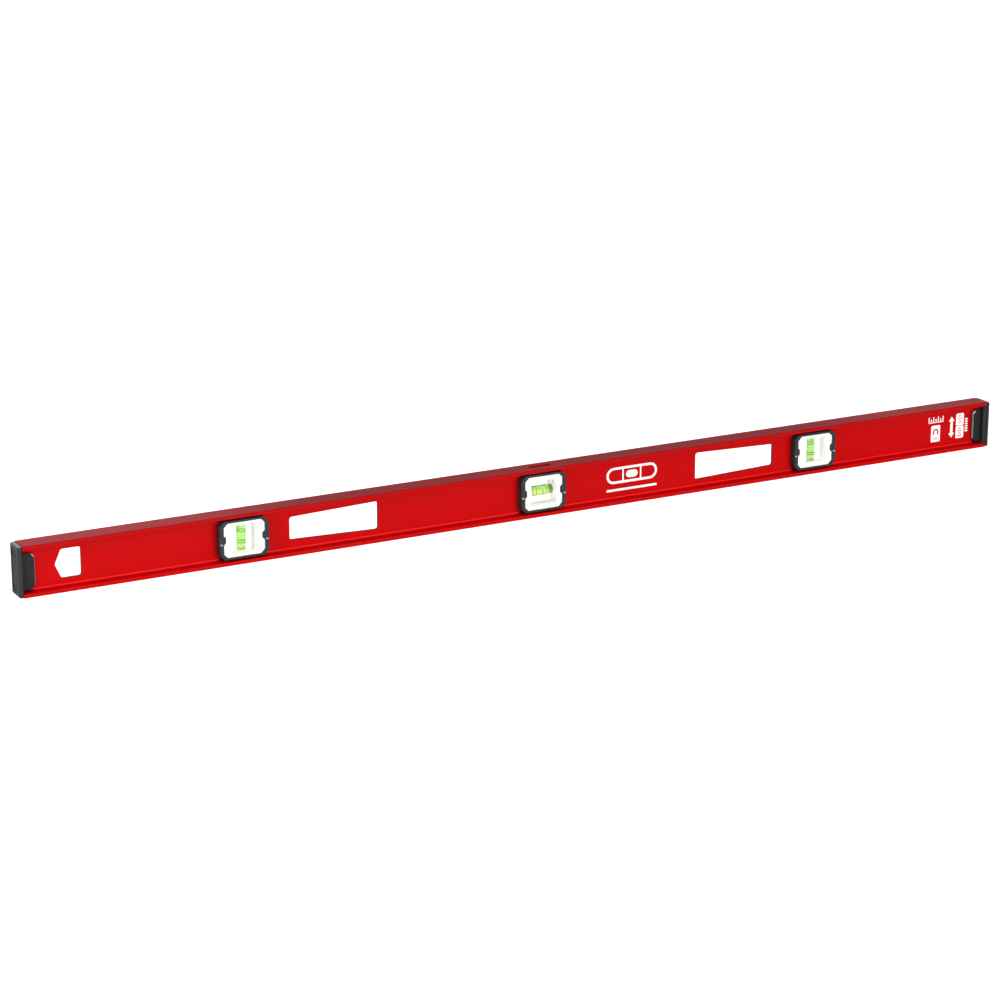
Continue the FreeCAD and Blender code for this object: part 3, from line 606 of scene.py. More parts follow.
@dataclass(frozen=True)
class ClearPane:
    """Thin clear acrylic: it lets what is behind it show unbent, and mirrors the room a little.

    Each pane has two faces, so each one mirrors only half of what the whole pane does.
    """

    name: str = "clear_acrylic_pane"
    tint: str = "#FEFFFE"
    ior: float = 1.3
    polish: Grain = Grain(6.0, 0.004, detail=1.0)

    def build(self) -> bpy.types.Material:
        """Make the material."""
        material = new_material(self.name)
        waves = {"Normal": self.polish.bump(material)}
        settings: Dict[Key, Any] = {"Color": "#FFFFFF", "Roughness": 0.04}
        mirror = add_node(material, "ShaderNodeBsdfGlossy", settings, waves)
        clear = add_node(material, "ShaderNodeBsdfTransparent", {"Color": self.tint})
        share = add_node(material, "ShaderNodeFresnel", {"IOR": self.ior}, waves)
        links = {0: share, 1: clear, 2: mirror}
        return finish_output(material, add_node(material, "ShaderNodeMixShader", None, links))


@dataclass(frozen=True)
class CastAcrylic:
    """Solid machined and polished acrylic, which bends what is seen through it like a lens.

    Lamps shine through it, as they do through the real one, by a clear stand-in for shadow rays.
    """

    name: str = "polished_cast_acrylic"
    tint: str = "#FAFEF4"
    ior: float = 1.18
    roughness: float = 0.01

    def build(self) -> bpy.types.Material:
        """Make the material."""
        material = new_material(self.name)
        solid = add_node(
            material,
            "ShaderNodeBsdfPrincipled",
            {
                "Base Color": self.tint,
                "Transmission Weight": 1.0,
                "IOR": self.ior,
                "Roughness": self.roughness,
            },
        )
        clear = add_node(material, "ShaderNodeBsdfTransparent", {"Color": self.tint})
        shadow = add_node(material, "ShaderNodeLightPath").outputs["Is Shadow Ray"]
        links = {0: shadow, 1: solid, 2: clear}
        return finish_output(material, add_node(material, "ShaderNodeMixShader", None, links))


@dataclass(frozen=True)
class DyedSpirit:
    """The vial's spirit, dyed a bright yellow-green.

    It bends light nearly as the acrylic does, so only its colour shows, with the faint swirls
    that the dye keeps for years. Its lower part is painted paler and yellower, as painted light
    for the light that comes through the white carrier.

    Attributes:
        upper: Colour of its upper part.
        swirled: What that drifts to in places.
        lower: Colour of its lower part, paler as painted light.
        change: Where the colour changes, as shares of the filling's height from its foot.
    """

    upper: str = "#D6F1BC"
    swirled: str = "#CEEDAC"
    lower: str = "#F6F9CE"
    change: Tuple[float, float] = (0.06, 0.16)
    swirl: Grain = Grain(5.0, detail=1.0)

    def build(self, node: str) -> bpy.types.Material:
        """Make the material for the filling of one vial.

        Args:
            node: The CAD node of the filling, which gives its height.

        Returns:
            The material.
        """
        low, high = box_mm(node)
        foot, head = (low[2] + share * (high[2] - low[2]) for share in self.change)
        material = new_material("dyed_vial_spirit")
        upper = self.swirl.tones(material, self.upper, self.swirled, (0.3, 0.7))
        # Painted light: the lower part is paler and yellower than the upper.
        colour = paint(material, self.lower, [(upper, [Fade(Axis.UP, foot, head)])])
        clear = add_node(material, "ShaderNodeBsdfTransparent", None, {"Color": colour})
        return finish_output(material, clear)


@dataclass(frozen=True)
class BubbleAir:
    """An air bubble in spirit: clear in its middle, mirroring towards its outline.

    Light that meets its wall at more than the critical angle is thrown back, so the wall mirrors
    more the more it turns away. Small ripples keep that from looking like a ball bearing. The
    wall also glows faintly in its pearl colour, as painted light.
    """

    name: str = "air_bubble_in_spirit"
    pearl: str = "#F4F7F0"
    mist: str = "#DDE6D0"
    ripple: Grain = Grain(3.0, 0.01, detail=1.0)

    def build(self) -> bpy.types.Material:
        """Make the material."""
        material = new_material(self.name)
        clear = add_node(material, "ShaderNodeBsdfTransparent", {"Color": self.pearl})
        # The wall's faint emission is a painted glow.
        wall = add_node(
            material,
            "ShaderNodeBsdfPrincipled",
            {"Roughness": 0.12, "Emission Color": self.pearl, "Emission Strength": 0.15},
            {
                "Base Color": self.ripple.tones(material, self.pearl, self.mist),
                "Normal": self.ripple.bump(material),
            },
        )
        turned = add_node(material, "ShaderNodeLayerWeight", {"Blend": 0.5}).outputs["Facing"]
        settings = {"From Min": 0.1, "From Max": 0.75, "To Min": 0.5}
        share = add_node(material, "ShaderNodeMapRange", settings, {"Value": turned})
        links = {0: share, 1: clear, 2: wall}
        return finish_output(material, add_node(material, "ShaderNodeMixShader", None, links))


@dataclass(frozen=True)
class LightTable:
    """A white acrylic light table: it glows evenly, so that shadows on it stay faint.

    It shows whiter, straight or through glass, than the light that it throws back onto the level.

    Attributes:
        colour: Its surface.
        glow: Its glow as it throws light onto other things.
        shown: Its glow as it is seen.
    """

    colour: str = "#C8C8C8"
    glow: float = 0.12
    shown: float = 0.9

    def build(self) -> bpy.types.Material:
        """Make the material."""
        material = new_material("white_light_table")
        path = add_node(material, "ShaderNodeLightPath").outputs
        links: Dict[Key, Source] = {0: path["Is Camera Ray"], 1: path["Is Transmission Ray"]}
        seen = add_node(material, "ShaderNodeMath", {"operation": "MAXIMUM"}, links)
        settings: Dict[Key, Any] = {"To Min": self.glow, "To Max": self.shown}
        strength = add_node(material, "ShaderNodeMapRange", settings, {"Value": seen})
        settings = {
            "Base Color": self.colour,
            "Roughness": 0.9,
            "Specular IOR Level": 0.1,
            "Emission Color": "#FFFFFF",
        }
        links = {"Emission Strength": strength}
        surface = add_node(material, "ShaderNodeBsdfPrincipled", settings, links)
        return finish_output(material, surface)


@dataclass
class Palette:
    """Every finish of the level, built once and shared by its pieces."""

    coat: bpy.types.Material
    bezel: bpy.types.Material
    tab_step: bpy.types.Material
    left_cap: bpy.types.Material
    right_cap: bpy.types.Material
    upright_carrier: bpy.types.Material
    level_carrier: bpy.types.Material
    magnet: bpy.types.Material
    white_ink: bpy.types.Material
    red_ink: bpy.types.Material
    ring_ink: bpy.types.Material
    pane: bpy.types.Material
    acrylic: bpy.types.Material
    bubble: bpy.types.Material

    @classmethod
    def build(cls) -> "Palette":
        """Make all the finishes."""
        fitted = [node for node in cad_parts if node.endswith(("_front_bezel", "_end_cap"))]
        bezel = MouldedPlastic(
            "glass_filled_nylon_black", "#25282A", "#2B2D2F", 0.42, 0.3, Grain(0.45, 0.02)
        )
        # Light grey pieces that stand for painted highlights in the tab channels.
        tab_step = MouldedPlastic(
            "painted_tab_highlight_nylon", "#A3A9AB", "#8F9597", 0.2, 0.5, Grain(0.3, 0.004)
        )
        # The white carriers get a painted glow that brightens them.
        carrier = MouldedPlastic(
            "white_abs", "#EFEFED", "#EAEAE7", 0.3, 0.4, Grain(0.5, 0.006), glow=0.2
        )
        return cls(
            coat=PowderCoat().build("i_beam", fitted),
            bezel=bezel.build(),
            tab_step=tab_step.build(),
            left_cap=CapRubber().build("left_end_cap"),
            right_cap=CapRubber().build("right_end_cap"),
            upright_carrier=carrier.build(),
            # The level carrier's window ledge gets painted shade.
            level_carrier=carrier.build([cls.window_ledge_shade("level_front_carrier")]),
            magnet=BondedFerrite().build(),
            white_ink=ScreenInk("white_screen_ink", "#F8F8F6", "#ECECE8").build(),
            red_ink=ScreenInk("red_screen_ink", "#C8000B", "#B5000A").build(),
            ring_ink=ScreenInk("dark_green_ring_ink", "#5C8440", "#6B944E").build(),
            pane=ClearPane().build(),
            acrylic=CastAcrylic().build(),
            bubble=BubbleAir().build(),
        )

    @staticmethod
    def window_ledge_shade(node: str) -> Layer:
        """Painted shade, grey, on the lower ledge of a carrier's window."""
        half_window, reach = 12.6, 0.5
        low, high = box_mm(node)
        foot = (low[2] + high[2]) / 2 - half_window
        return "#D3D5D2", [Fade(Axis.UP, reach, reach / 2, (0.0, 0.0, foot))]


# ------------------------------------------------------------------------------------------------
# Meshes
# ------------------------------------------------------------------------------------------------
def ring_faces(rings: int, points: int, closed: bool) -> List[List[int]]:
    """Quads between neighbouring rings of points, numbered ring by ring.

    Args:
        rings: How many rings there are.
        points: How many points each ring has.
        closed: True if the last ring joins on to the first.

    Returns:
        The quads' vertex numbers.
    """
    ring = np.arange(rings if closed else rings - 1)[:, None]
    point = np.arange(points)[None, :]
    after = (ring + 1) % rings
    following = (point + 1) % points
    quads = np.stack(
        [
            ring * points + point,
            ring * points + following,
            after * points + following,
            after * points + point,
        ],
        axis=-1,
    )
    return quads.reshape(-1, 4).tolist()


def signed_volume(vertices: Array, faces: Sequence[Sequence[int]]) -> float:
    """Volume inside a closed mesh, negative if its faces point inwards.

    It adds up the tetrahedra from the origin to each face's fan of triangles.
    """
    total = 0.0
    for corners in faces:
        fan = vertices[list(corners)]
        edges = np.cross(fan[1:-1], fan[2:])
        total += float((edges @ fan[0]).sum())
    return total / 6.0


@dataclass
class Shell:
    """A closed mesh in the making, in millimetres, as one or more closed surfaces."""

    vertices: List[Array] = field(default_factory=list)
    faces: List[List[int]] = field(default_factory=list)
    count: int = 0

    def add(self, vertices: Array, faces: Sequence[Sequence[int]]) -> None:
        """Add a closed surface, turned so that its faces point outwards."""
        outwards = signed_volume(vertices, faces) > 0
        for corners in faces:
            numbers = [self.count + int(corner) for corner in corners]
            self.faces.append(numbers if outwards else numbers[::-1])
        self.vertices.append(vertices)
        self.count += len(vertices)

    def add_rings(self, rings: Array, poles: bool) -> None:
        """Add a surface through closed rings, shut at both ends.

        Args:
            rings: Array of shape (rings, points, 3).
            poles: True to shut each end with a fan round its middle, False with one flat face.
        """
        count, points, _ = rings.shape
        vertices = rings.reshape(-1, 3)
        faces = ring_faces(count, points, closed=False)
        last = (count - 1) * points
        if poles:
            middles = np.stack([rings[0].mean(axis=0), rings[-1].mean(axis=0)])
            vertices = np.concatenate([vertices, middles])
            first_pole, last_pole = count * points, count * points + 1
            for index in range(points):
                after = (index + 1) % points
                faces.append([after, index, first_pole])
                faces.append([last + index, last + after, last_pole])
        else:
            faces.append(list(range(points))[::-1])
            faces.append([last + index for index in range(points)])
        self.add(vertices, faces)

    def add_loop(self, rings: Array) -> None:
        """Add a surface through closed rings whose last joins on to its first, as on a frame."""
        count, points, _ = rings.shape
        self.add(rings.reshape(-1, 3), ring_faces(count, points, closed=True))

    def build(
        self, name: str, material: bpy.types.Material, smooth_degrees: float = 35.0
    ) -> bpy.types.Object:
        """Write the mesh in metres and make its object.

        Args:
            name: The object's name.
            material: Its finish.
            smooth_degrees: Edges that turn by more than this stay sharp.

        Returns:
            The new object.
        """
        mesh = bpy.data.meshes.new(name)
        points = np.concatenate(self.vertices) * MM
        mesh.from_pydata(points.tolist(), [], self.faces)
        mesh.materials.append(material)
        mesh.update()
        mesh.shade_smooth()
        mesh.set_sharp_from_angle(angle=math.radians(smooth_degrees))
        piece = bpy.data.objects.new(name, mesh)
        bpy.context.scene.collection.objects.link(piece)
        return piece


def finished_copy(
    node: str, name: str, material: bpy.types.Material, bevel_mm: float, segments: int = 2
) -> bpy.types.Object:
    """Copy a CAD node's mesh, break its sharp edges and smooth its rounds, and stand in for it.

    The copy's loose triangles are merged first, and flat stretches become single faces, so that
    the Bevel modifier finds the real edges. A face that bends round a hole goes back to
    triangles. Weighted normals keep the large faces flat.

    Args:
        node: The CAD node.
        name: The new piece's name.
        material: Its finish.
        bevel_mm: Width of the broken edges.
        segments: Faces across each broken edge.

    Returns:
        The new piece.
    """
    same_point_mm, flat_degrees, sharp_degrees = 0.002, 0.5, 38.0
    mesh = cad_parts[node].data.copy()
    mesh.name = name
    work = bmesh.new()
    work.from_mesh(mesh)
    bmesh.ops.remove_doubles(work, verts=work.verts, dist=same_point_mm * MM)
    bmesh.ops.dissolve_limit(
        work, angle_limit=math.radians(flat_degrees), verts=work.verts, edges=work.edges
    )
    hollow = [f for f in work.faces if not all(corner.is_convex for corner in f.loops)]
    bmesh.ops.triangulate(work, faces=hollow)
    work.to_mesh(mesh)
    work.free()
    mesh.materials.clear()
    mesh.materials.append(material)
    mesh.shade_smooth()
    piece = bpy.data.objects.new(name, mesh)
    bpy.context.scene.collection.objects.link(piece)
    bevel = piece.modifiers.new("broken_edges", "BEVEL")
    bevel.width = bevel_mm * MM
    bevel.segments = segments
    bevel.limit_method = "ANGLE"
    bevel.angle_limit = math.radians(sharp_degrees)
    bevel.use_clamp_overlap = True
    bevel.loop_slide = False
    bevel.miter_outer = "MITER_ARC"
    normals = piece.modifiers.new("flat_faces", "WEIGHTED_NORMAL")
    normals.mode = "FACE_AREA"
    normals.weight = 80
    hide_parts(node)
    return piece


def dress_node(node: str, material: bpy.types.Material) -> None:
    """Give a carried-over CAD node its finish."""
    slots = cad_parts[node].material_slots
    for slot in slots:
        slot.material = material
    LOG.info("dressed %s in %s", node, material.name)


def settle(piece: bpy.types.Object, body: str) -> bpy.types.Object:
    """Make a piece ride on its body, and log it."""
    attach(piece, body)
    LOG.info("built %s on %s", piece.name, body)
    return piece


# ------------------------------------------------------------------------------------------------
# Flat outlines for the printed marks
# ------------------------------------------------------------------------------------------------
def rounded_box(
    centre: Tuple[float, float], size: Tuple[float, float], radius: float, steps: int = 8
) -> Array:
    """Outline of a box with round corners, anticlockwise.

    Each corner is a quarter circle of points round a centre that lies one radius inside it.

    Returns:
        Array of shape (4 * steps, 2).
    """
    turn = np.linspace(0.0, math.pi / 2, steps)
    corner = np.arange(4)[:, None]
    angle = turn[None, :] + corner * math.pi / 2
    sign_x = np.array([1, -1, -1, 1])[:, None]
    sign_y = np.array([1, 1, -1, -1])[:, None]
    reach_x, reach_y = size[0] / 2 - radius, size[1] / 2 - radius
    x = centre[0] + sign_x * reach_x + radius * np.cos(angle)
    y = centre[1] + sign_y * reach_y + radius * np.sin(angle)
    return np.stack([x.ravel(), y.ravel()], axis=1)


def double_arrow(
    centre: Tuple[float, float], length: float, head: Tuple[float, float], shaft: float
) -> Array:
    """Outline of an upright arrow with a head at both ends.

    Args:
        centre: Its middle.
        length: Tip to tip.
        head: Length and width of each head.
        shaft: Width between the heads.

    Returns:
        Array of shape (10, 2).
    """
    half, neck = length / 2, length / 2 - head[0]
    right = [(0.0, half), (head[1] / 2, neck), (shaft / 2, neck)]
    right += [(x, -y) for x, y in right[:0:-1]] + [(0.0, -half)]
    left = [(-x, y) for x, y in right[-2:0:-1]]
    return np.array(right + left) + np.array(centre)


def horseshoe(
    centre: Tuple[float, float], outer: float, inner: float, leg: float, steps: int = 16
) -> Array:
    """Outline of a horseshoe magnet, open downwards.

    An outer half circle runs on into two straight legs, and an inner half circle comes back.

    Returns:
        Array of shape (2 * steps + 4, 2).
    """
    angle = np.linspace(0.0, math.pi, steps)
    arc = np.stack([np.cos(angle), np.sin(angle)], axis=1)
    feet = np.array([[-outer, -leg], [-inner, -leg]])
    others = np.array([[inner, -leg], [outer, -leg]])
    outline = np.concatenate([outer * arc, feet, inner * arc[::-1], others])
    return outline + np.array(centre)


@dataclass
class PrintedSheet:
    """One printed mark on the web's front face: plates of ink that stand just proud of it."""

    web_face: float
    lift: float = 0.04
    root: float = 0.02
    shell: Shell = field(default_factory=Shell)

    def raised(self, outline: Array, depth: float) -> Array:
        """Put a flat outline, drawn in X and Z, at a depth in front of the web's face."""
        y = np.full(len(outline), self.web_face - depth)
        return np.stack([outline[:, 0], y, outline[:, 1]], axis=1)

    def plate(self, outline: Array, above: float = 0.0) -> None:
        """Add a solid shape of ink, above the sheet by so much."""
        back = self.raised(outline, above - self.root)
        front = self.raised(outline, above + self.lift)
        self.shell.add_rings(np.stack([back, front]), poles=False)

    def hoop(self, outer: Array, inner: Array) -> None:
        """Add a closed band of ink between two outlines with as many points each."""
        rings = [
            self.raised(outer, -self.root),
            self.raised(outer, self.lift),
            self.raised(inner, self.lift),
            self.raised(inner, -self.root),
        ]
        self.shell.add_loop(np.stack(rings))

    def build(self, name: str, material: bpy.types.Material) -> bpy.types.Object:
        """Make the mark's piece."""
        return settle(self.shell.build(name, material), ROOT_BODY)


# ------------------------------------------------------------------------------------------------
# Sub-assemblies
# ------------------------------------------------------------------------------------------------
@dataclass
class Beam:
    """The red I-beam with its magnetic strip and the marks printed on its web.

    Attributes:
        palette: The level's finishes.
        edge_break: Width of the deburred edges.
        web_face: Depth of the web's front face.
    """

    palette: Palette
    edge_break: float = 0.25
    web_face: float = -1.4

    def build(self) -> None:
        """Build the beam, its strip and its marks."""
        beam = finished_copy("i_beam", "coated_i_beam", self.palette.coat, self.edge_break)
        settle(beam, ROOT_BODY)
        dress_node("magnet_strip", self.palette.magnet)
        self.print_level_sign()
        self.print_scale_ticks()
        self.print_magnet_label()
        self.print_height_arrow()
        self.print_length_label()

    def print_level_sign(self) -> None:
        """A plain sign of a level vial: a capsule, two lines, a bubble, and a bar under it."""
        middle = (118.5, 31.0)
        sheet = PrintedSheet(self.web_face)
        sheet.hoop(
            rounded_box(middle, (66.0, 19.0), 9.4), rounded_box(middle, (60.4, 13.4), 6.6)
        )
        sheet.plate(rounded_box(middle, (15.0, 8.4), 4.15))
        for offset in (-11.5, 11.5):
            sheet.plate(rounded_box((middle[0] + offset, middle[1]), (1.8, 13.6), 0.2, 3))
        sheet.plate(rounded_box((middle[0], 14.0), (66.0, 2.6), 1.2))
        sheet.build("print_level_sign", self.palette.white_ink)

    def print_scale_ticks(self) -> None:
        """A short row of scale ticks, every second one taller."""
        sheet = PrintedSheet(self.web_face)
        left, base, pitch = 528.4, 36.2, 3.4
        for index in range(7):
            height = 7.0 if index % 2 == 0 else 4.4
            place = (left + index * pitch, base + height / 2)
            sheet.plate(rounded_box(place, (1.5, height), 0.3, 3))
        sheet.plate(rounded_box((left + 3 * pitch, base), (22.0, 1.1), 0.4, 3))
        sheet.build("print_scale_ticks", self.palette.white_ink)

    def print_magnet_label(self) -> None:
        """A white label with a horseshoe magnet, which says that the lower edge is magnetic."""
        middle = (538.6, 22.3)
        label = PrintedSheet(self.web_face)
        label.plate(rounded_box(middle, (13.2, 20.2), 1.8))
        label.build("print_magnet_label", self.palette.white_ink)
        sign = PrintedSheet(self.web_face)
        sign.plate(horseshoe((middle[0], middle[1] + 2.2), 3.9, 1.9, 3.4), above=label.lift)
        for offset in (-5.0, -6.8):
            sign.plate(
                rounded_box((middle[0], middle[1] + offset), (5.6, 0.7), 0.3, 3), above=label.lift
            )
        sign.build("print_magnet_sign", self.palette.red_ink)

    def print_height_arrow(self) -> None:
        """An upright arrow with two heads."""
        sheet = PrintedSheet(self.web_face)
        sheet.plate(double_arrow((561.7, 27.5), 26.0, (5.6, 8.2), 3.6))
        sheet.build("print_height_arrow", self.palette.white_ink)

    def print_length_label(self) -> None:
        """A tall label in two halves, with plain bars on each, and a row of bars beside it."""
        label = PrintedSheet(self.web_face)
        for centre_z in (20.0, 35.6):
            label.plate(rounded_box((573.8, centre_z), (11.4, 15.0), 1.7))
        for index in range(6):
            label.plate(rounded_box((583.3, 20.5 + index * 2.9), (4.0, 1.9), 0.5, 3))
        label.build("print_length_label", self.palette.white_ink)
        bars = PrintedSheet(self.web_face)
        for index in range(4):
            width = 6.4 if index % 2 == 0 else 4.2
            bars.plate(
                rounded_box((573.8, 15.8 + index * 2.8), (width, 1.2), 0.4, 3), above=label.lift
            )
            bars.plate(
                rounded_box((573.8, 31.4 + index * 2.8), (width, 0.8), 0.3, 3), above=label.lift
            )
        bars.build("print_length_bars", self.palette.red_ink)


@dataclass
class EndCap:
    """A rubber end cap, which pulls off along the beam.

    Attributes:
        palette: The level's finishes.
        side: Which end it closes.
        edge_round: Width of the rounding that its mould leaves on every edge.
    """

    palette: Palette
    side: Side
    edge_round: float = 0.35

    def build(self) -> None:
        """Build the cap."""
        node = f"{self.side.name.lower()}_end_cap"
        rubber = self.palette.left_cap if self.side is Side.LEFT else self.palette.right_cap
        piece = finished_copy(node, f"moulded_{node}", rubber, self.edge_round, segments=3)
        settle(piece, node)


@dataclass
class VialStation:
    """One vial with its fittings on both sides of the web.

    The vial is worked out along its own axes, along, side and up, where up is the bubble's side,
    and then turned to the row's axes about its centre.

    Attributes:
        palette: The level's finishes.
        name: The station's name, which its nodes' names begin with.
        along: Unit vector along the vial.
        up: Unit vector from the vial's axis towards its bubble.
        bore_radius: Radius of the bore at its middle.
        crown: How much narrower the bore is at its ends.
        bore_length: Length of the bore up to the plug.
        bubble: Half-length and half-width of the bubble.
        dye: The colour of its spirit.
        highlight_foot: Height of the painted highlights on the tab channels' lower wall, from the
            bezel's middle.
        highlight_depth: How deep the tab channels are, where the painted highlights lie.
    """

    palette: Palette
    name: str
    along: Tuple[float, float, float]
    up: Tuple[float, float, float]
    bore_radius: float = 4.35
    crown: float = 0.25
    bore_length: float = 28.8
    bubble: Tuple[float, float] = (4.5, 3.15)
    dye: DyedSpirit = DyedSpirit()
    highlight_foot: float = -4.4
    highlight_depth: float = 0.78

    def __post_init__(self) -> None:
        """Read the vial's place and size from its tube's CAD node."""
        low, high = box_mm(f"{self.name}_vial_tube")
        self.centre = (low + high) / 2
        extent = high - low
        self.length = float(np.abs(np.array(self.along) @ extent))
        self.radius = float(extent @ np.array(Axis.DEPTH.value)) / 2

    def turned(self, local: Array) -> Array:
        """Turn points from the vial's own axes to the row's and move them to its centre."""
        along, up = np.array(self.along), np.array(self.up)
        basis = np.stack([along, np.cross(up, along), up])
        return local @ basis + self.centre

    def revolved(self, place: Array, radius: Array, segments: int = 64) -> Array:
        """Rings of a surface of revolution round the vial's axis.

        Each profile point (place, radius) becomes a circle of that radius at that place.
        """
        angle = np.linspace(0.0, 2 * math.pi, segments, endpoint=False)
        circle = np.stack([np.zeros(segments), np.cos(angle), np.sin(angle)], axis=1)
        rings = radius[:, None, None] * circle[None]
        rings[:, :, 0] = place[:, None]
        return self.turned(rings)

    def build(self) -> None:
        """Build every piece of the station."""
        for face in Face:
            self.build_fittings(face)
        self.build_tube()
        self.build_spirit()
        self.build_bubble()
        dress_node(f"{self.name}_vial_plug", self.palette.acrylic)
        for ring in self.ring_nodes():
            dress_node(ring, self.palette.ring_ink)

    def ring_nodes(self) -> List[str]:
        """Names of the station's two graduation rings."""
        return [
            node
            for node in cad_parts
            if node.startswith(f"{self.name}_") and node.endswith("_ring")
        ]

    def build_fittings(self, face: Face) -> None:
        """Build the bezel, the carrier and the lens on one side of the web."""
        stem = f"{self.name}_{face.value}"
        bezel = finished_copy(f"{stem}_bezel", f"{stem}_bezel_moulding", self.palette.bezel, 0.3, 3)
        settle(bezel, ROOT_BODY)
        lying = self.along == Axis.ALONG.value
        white = self.palette.level_carrier if lying else self.palette.upright_carrier
        carrier = finished_copy(f"{stem}_carrier", f"{stem}_carrier_moulding", white, 0.3, 3)
        settle(carrier, ROOT_BODY)
        dress_node(f"{stem}_lens", self.palette.pane)
        # Painted highlights on the tab channels.
        self.build_tab_steps(face, stem)

    def build_tab_steps(self, face: Face, stem: str) -> None:
        """Painted highlights: small light grey ramps at the foot of the channel over each snap tab.

        Each one is a three-sided bar: it lies in the corner between the channel's lower wall and
        its floor, and its slope looks up and outwards.
        """
        low, high = box_mm(f"{stem}_bezel")
        outward = -1.0 if face is Face.FRONT else 1.0
        front = low[1] if face is Face.FRONT else high[1]
        foot = (low[2] + high[2]) / 2 + self.highlight_foot
        inset, length, rise, lip = 0.7, 2.9, 1.3, 0.06
        depth = np.array([lip, self.highlight_depth, self.highlight_depth]) * -outward
        height = np.array([0.0, 0.0, rise])
        shell = Shell()
        for start in (low[0] + inset, high[0] - inset - length):
            rings = [
                np.stack([np.full(3, x), front + depth, foot + height], axis=1)
                for x in (start, start + length)
            ]
            shell.add_rings(np.stack(rings), poles=False)
        steps = shell.build(f"{stem}_tab_steps", self.palette.tab_step)
        settle(steps, ROOT_BODY)

    def build_tube(self) -> None:
        """The tube as one clear block of acrylic, round outside, with rounded rims.

        Its profile is straight, with a quarter circle at each end. The mouth behind the plug is
        a short round recess.
        """
        rim, inner_ring, plug_gap, bore_gap = 0.5, 0.35, 0.06, 0.02
        half, seat = self.length / 2, self.bore_length / 2 + plug_gap
        turn = np.linspace(0.0, math.pi / 2, 6)
        mouth = self.bore_radius - self.crown + bore_gap
        place = np.concatenate(
            [
                [-half],
                -half + rim * (1 - np.sin(turn)[::-1]),
                half - rim * (1 - np.sin(turn)),
                [half, seat],
            ]
        )
        radius = np.concatenate(
            [
                [self.radius * inner_ring],
                self.radius - rim * (1 - np.cos(turn)[::-1]),
                self.radius - rim * (1 - np.cos(turn)),
                [mouth, mouth],
            ]
        )
        shell = Shell()
        shell.add_rings(self.revolved(place, radius), poles=True)
        tube = shell.build(f"{self.name}_vial_block", self.palette.acrylic)
        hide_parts(f"{self.name}_vial_tube")
        settle(tube, ROOT_BODY)

    def build_spirit(self) -> None:
        """The spirit, filling the crowned bore.

        Its radius falls from the middle to the ends with the square of the distance, and a
        quarter circle rounds each end.
        """
        rim, end_gap, gap = 0.4, 0.05, 0.03
        half = self.bore_length / 2 - end_gap
        turn = np.linspace(0.0, math.pi / 2, 5)
        straight = np.linspace(-half + rim, half - rim, 33)
        place = np.concatenate(
            [
                -half + rim * (1 - np.cos(turn)),
                straight[1:-1],
                half - rim * (1 - np.cos(turn)[::-1]),
            ]
        )
        inset = np.concatenate(
            [rim * (1 - np.sin(turn)), np.zeros(len(straight) - 2), rim * (1 - np.sin(turn)[::-1])]
        )
        radius = self.bore_radius - gap - self.crown * (place / half) ** 2 - inset
        shell = Shell()
        shell.add_rings(self.revolved(place, radius), poles=True)
        dye = self.dye.build(f"{self.name}_vial_fluid")
        spirit = shell.build(f"{self.name}_spirit_filling", dye)
        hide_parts(f"{self.name}_vial_fluid")
        settle(spirit, ROOT_BODY)

    def build_bubble(self) -> None:
        """The bubble: a long rounded cushion of air whose back follows the bore.

        Points of a unit ball are drawn out to the bubble's length and width, with fuller ends.
        Their height bends down with the bore's circle, thin above and deeper below.
        """
        low, high = box_mm(f"{self.name}_vial_bubble")
        middle = (low + high) / 2 - self.centre
        offset = float(middle @ np.array(self.along))
        half_length, half_width = self.bubble
        rise, sink, fullness, clearance = 0.75, 1.7, 0.85, 0.12
        roof = self.bore_radius - self.crown - clearance
        latitude = np.linspace(-math.pi / 2, math.pi / 2, 26)[1:-1, None]
        longitude = np.linspace(0.0, 2 * math.pi, 48, endpoint=False)[None, :]
        along = np.sign(np.sin(latitude)) * np.abs(np.sin(latitude)) ** fullness
        side = np.cos(latitude) * np.cos(longitude)
        height = np.cos(latitude) * np.sin(longitude)
        x = offset + half_length * along * np.ones_like(longitude)
        y = half_width * side
        arch = np.sqrt(roof**2 - y**2) - rise
        z = arch + np.where(height > 0, rise, sink) * height
        shell = Shell()
        shell.add_rings(self.turned(np.stack([x, y, z], axis=-1)), poles=True)
        piece = shell.build(f"{self.name}_air_bubble", self.palette.bubble, 80.0)
        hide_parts(f"{self.name}_vial_bubble")
        settle(piece, f"{self.name}_bubble")


@dataclass(frozen=True)
class Softbox:
    """A soft rectangular lamp that looks at the level.

    Attributes:
        name: What it is called.
        azimuth: Its turn round the level in degrees, measured as the camera's.
        elevation: Its height above the horizon, in degrees.
        distance: Lamp to target, in metres.
        size: Its width and height, in metres.
        power: What it gives out, in watts.
    """

    name: str
    azimuth: float
    elevation: float
    distance: float
    size: Tuple[float, float]
    power: float


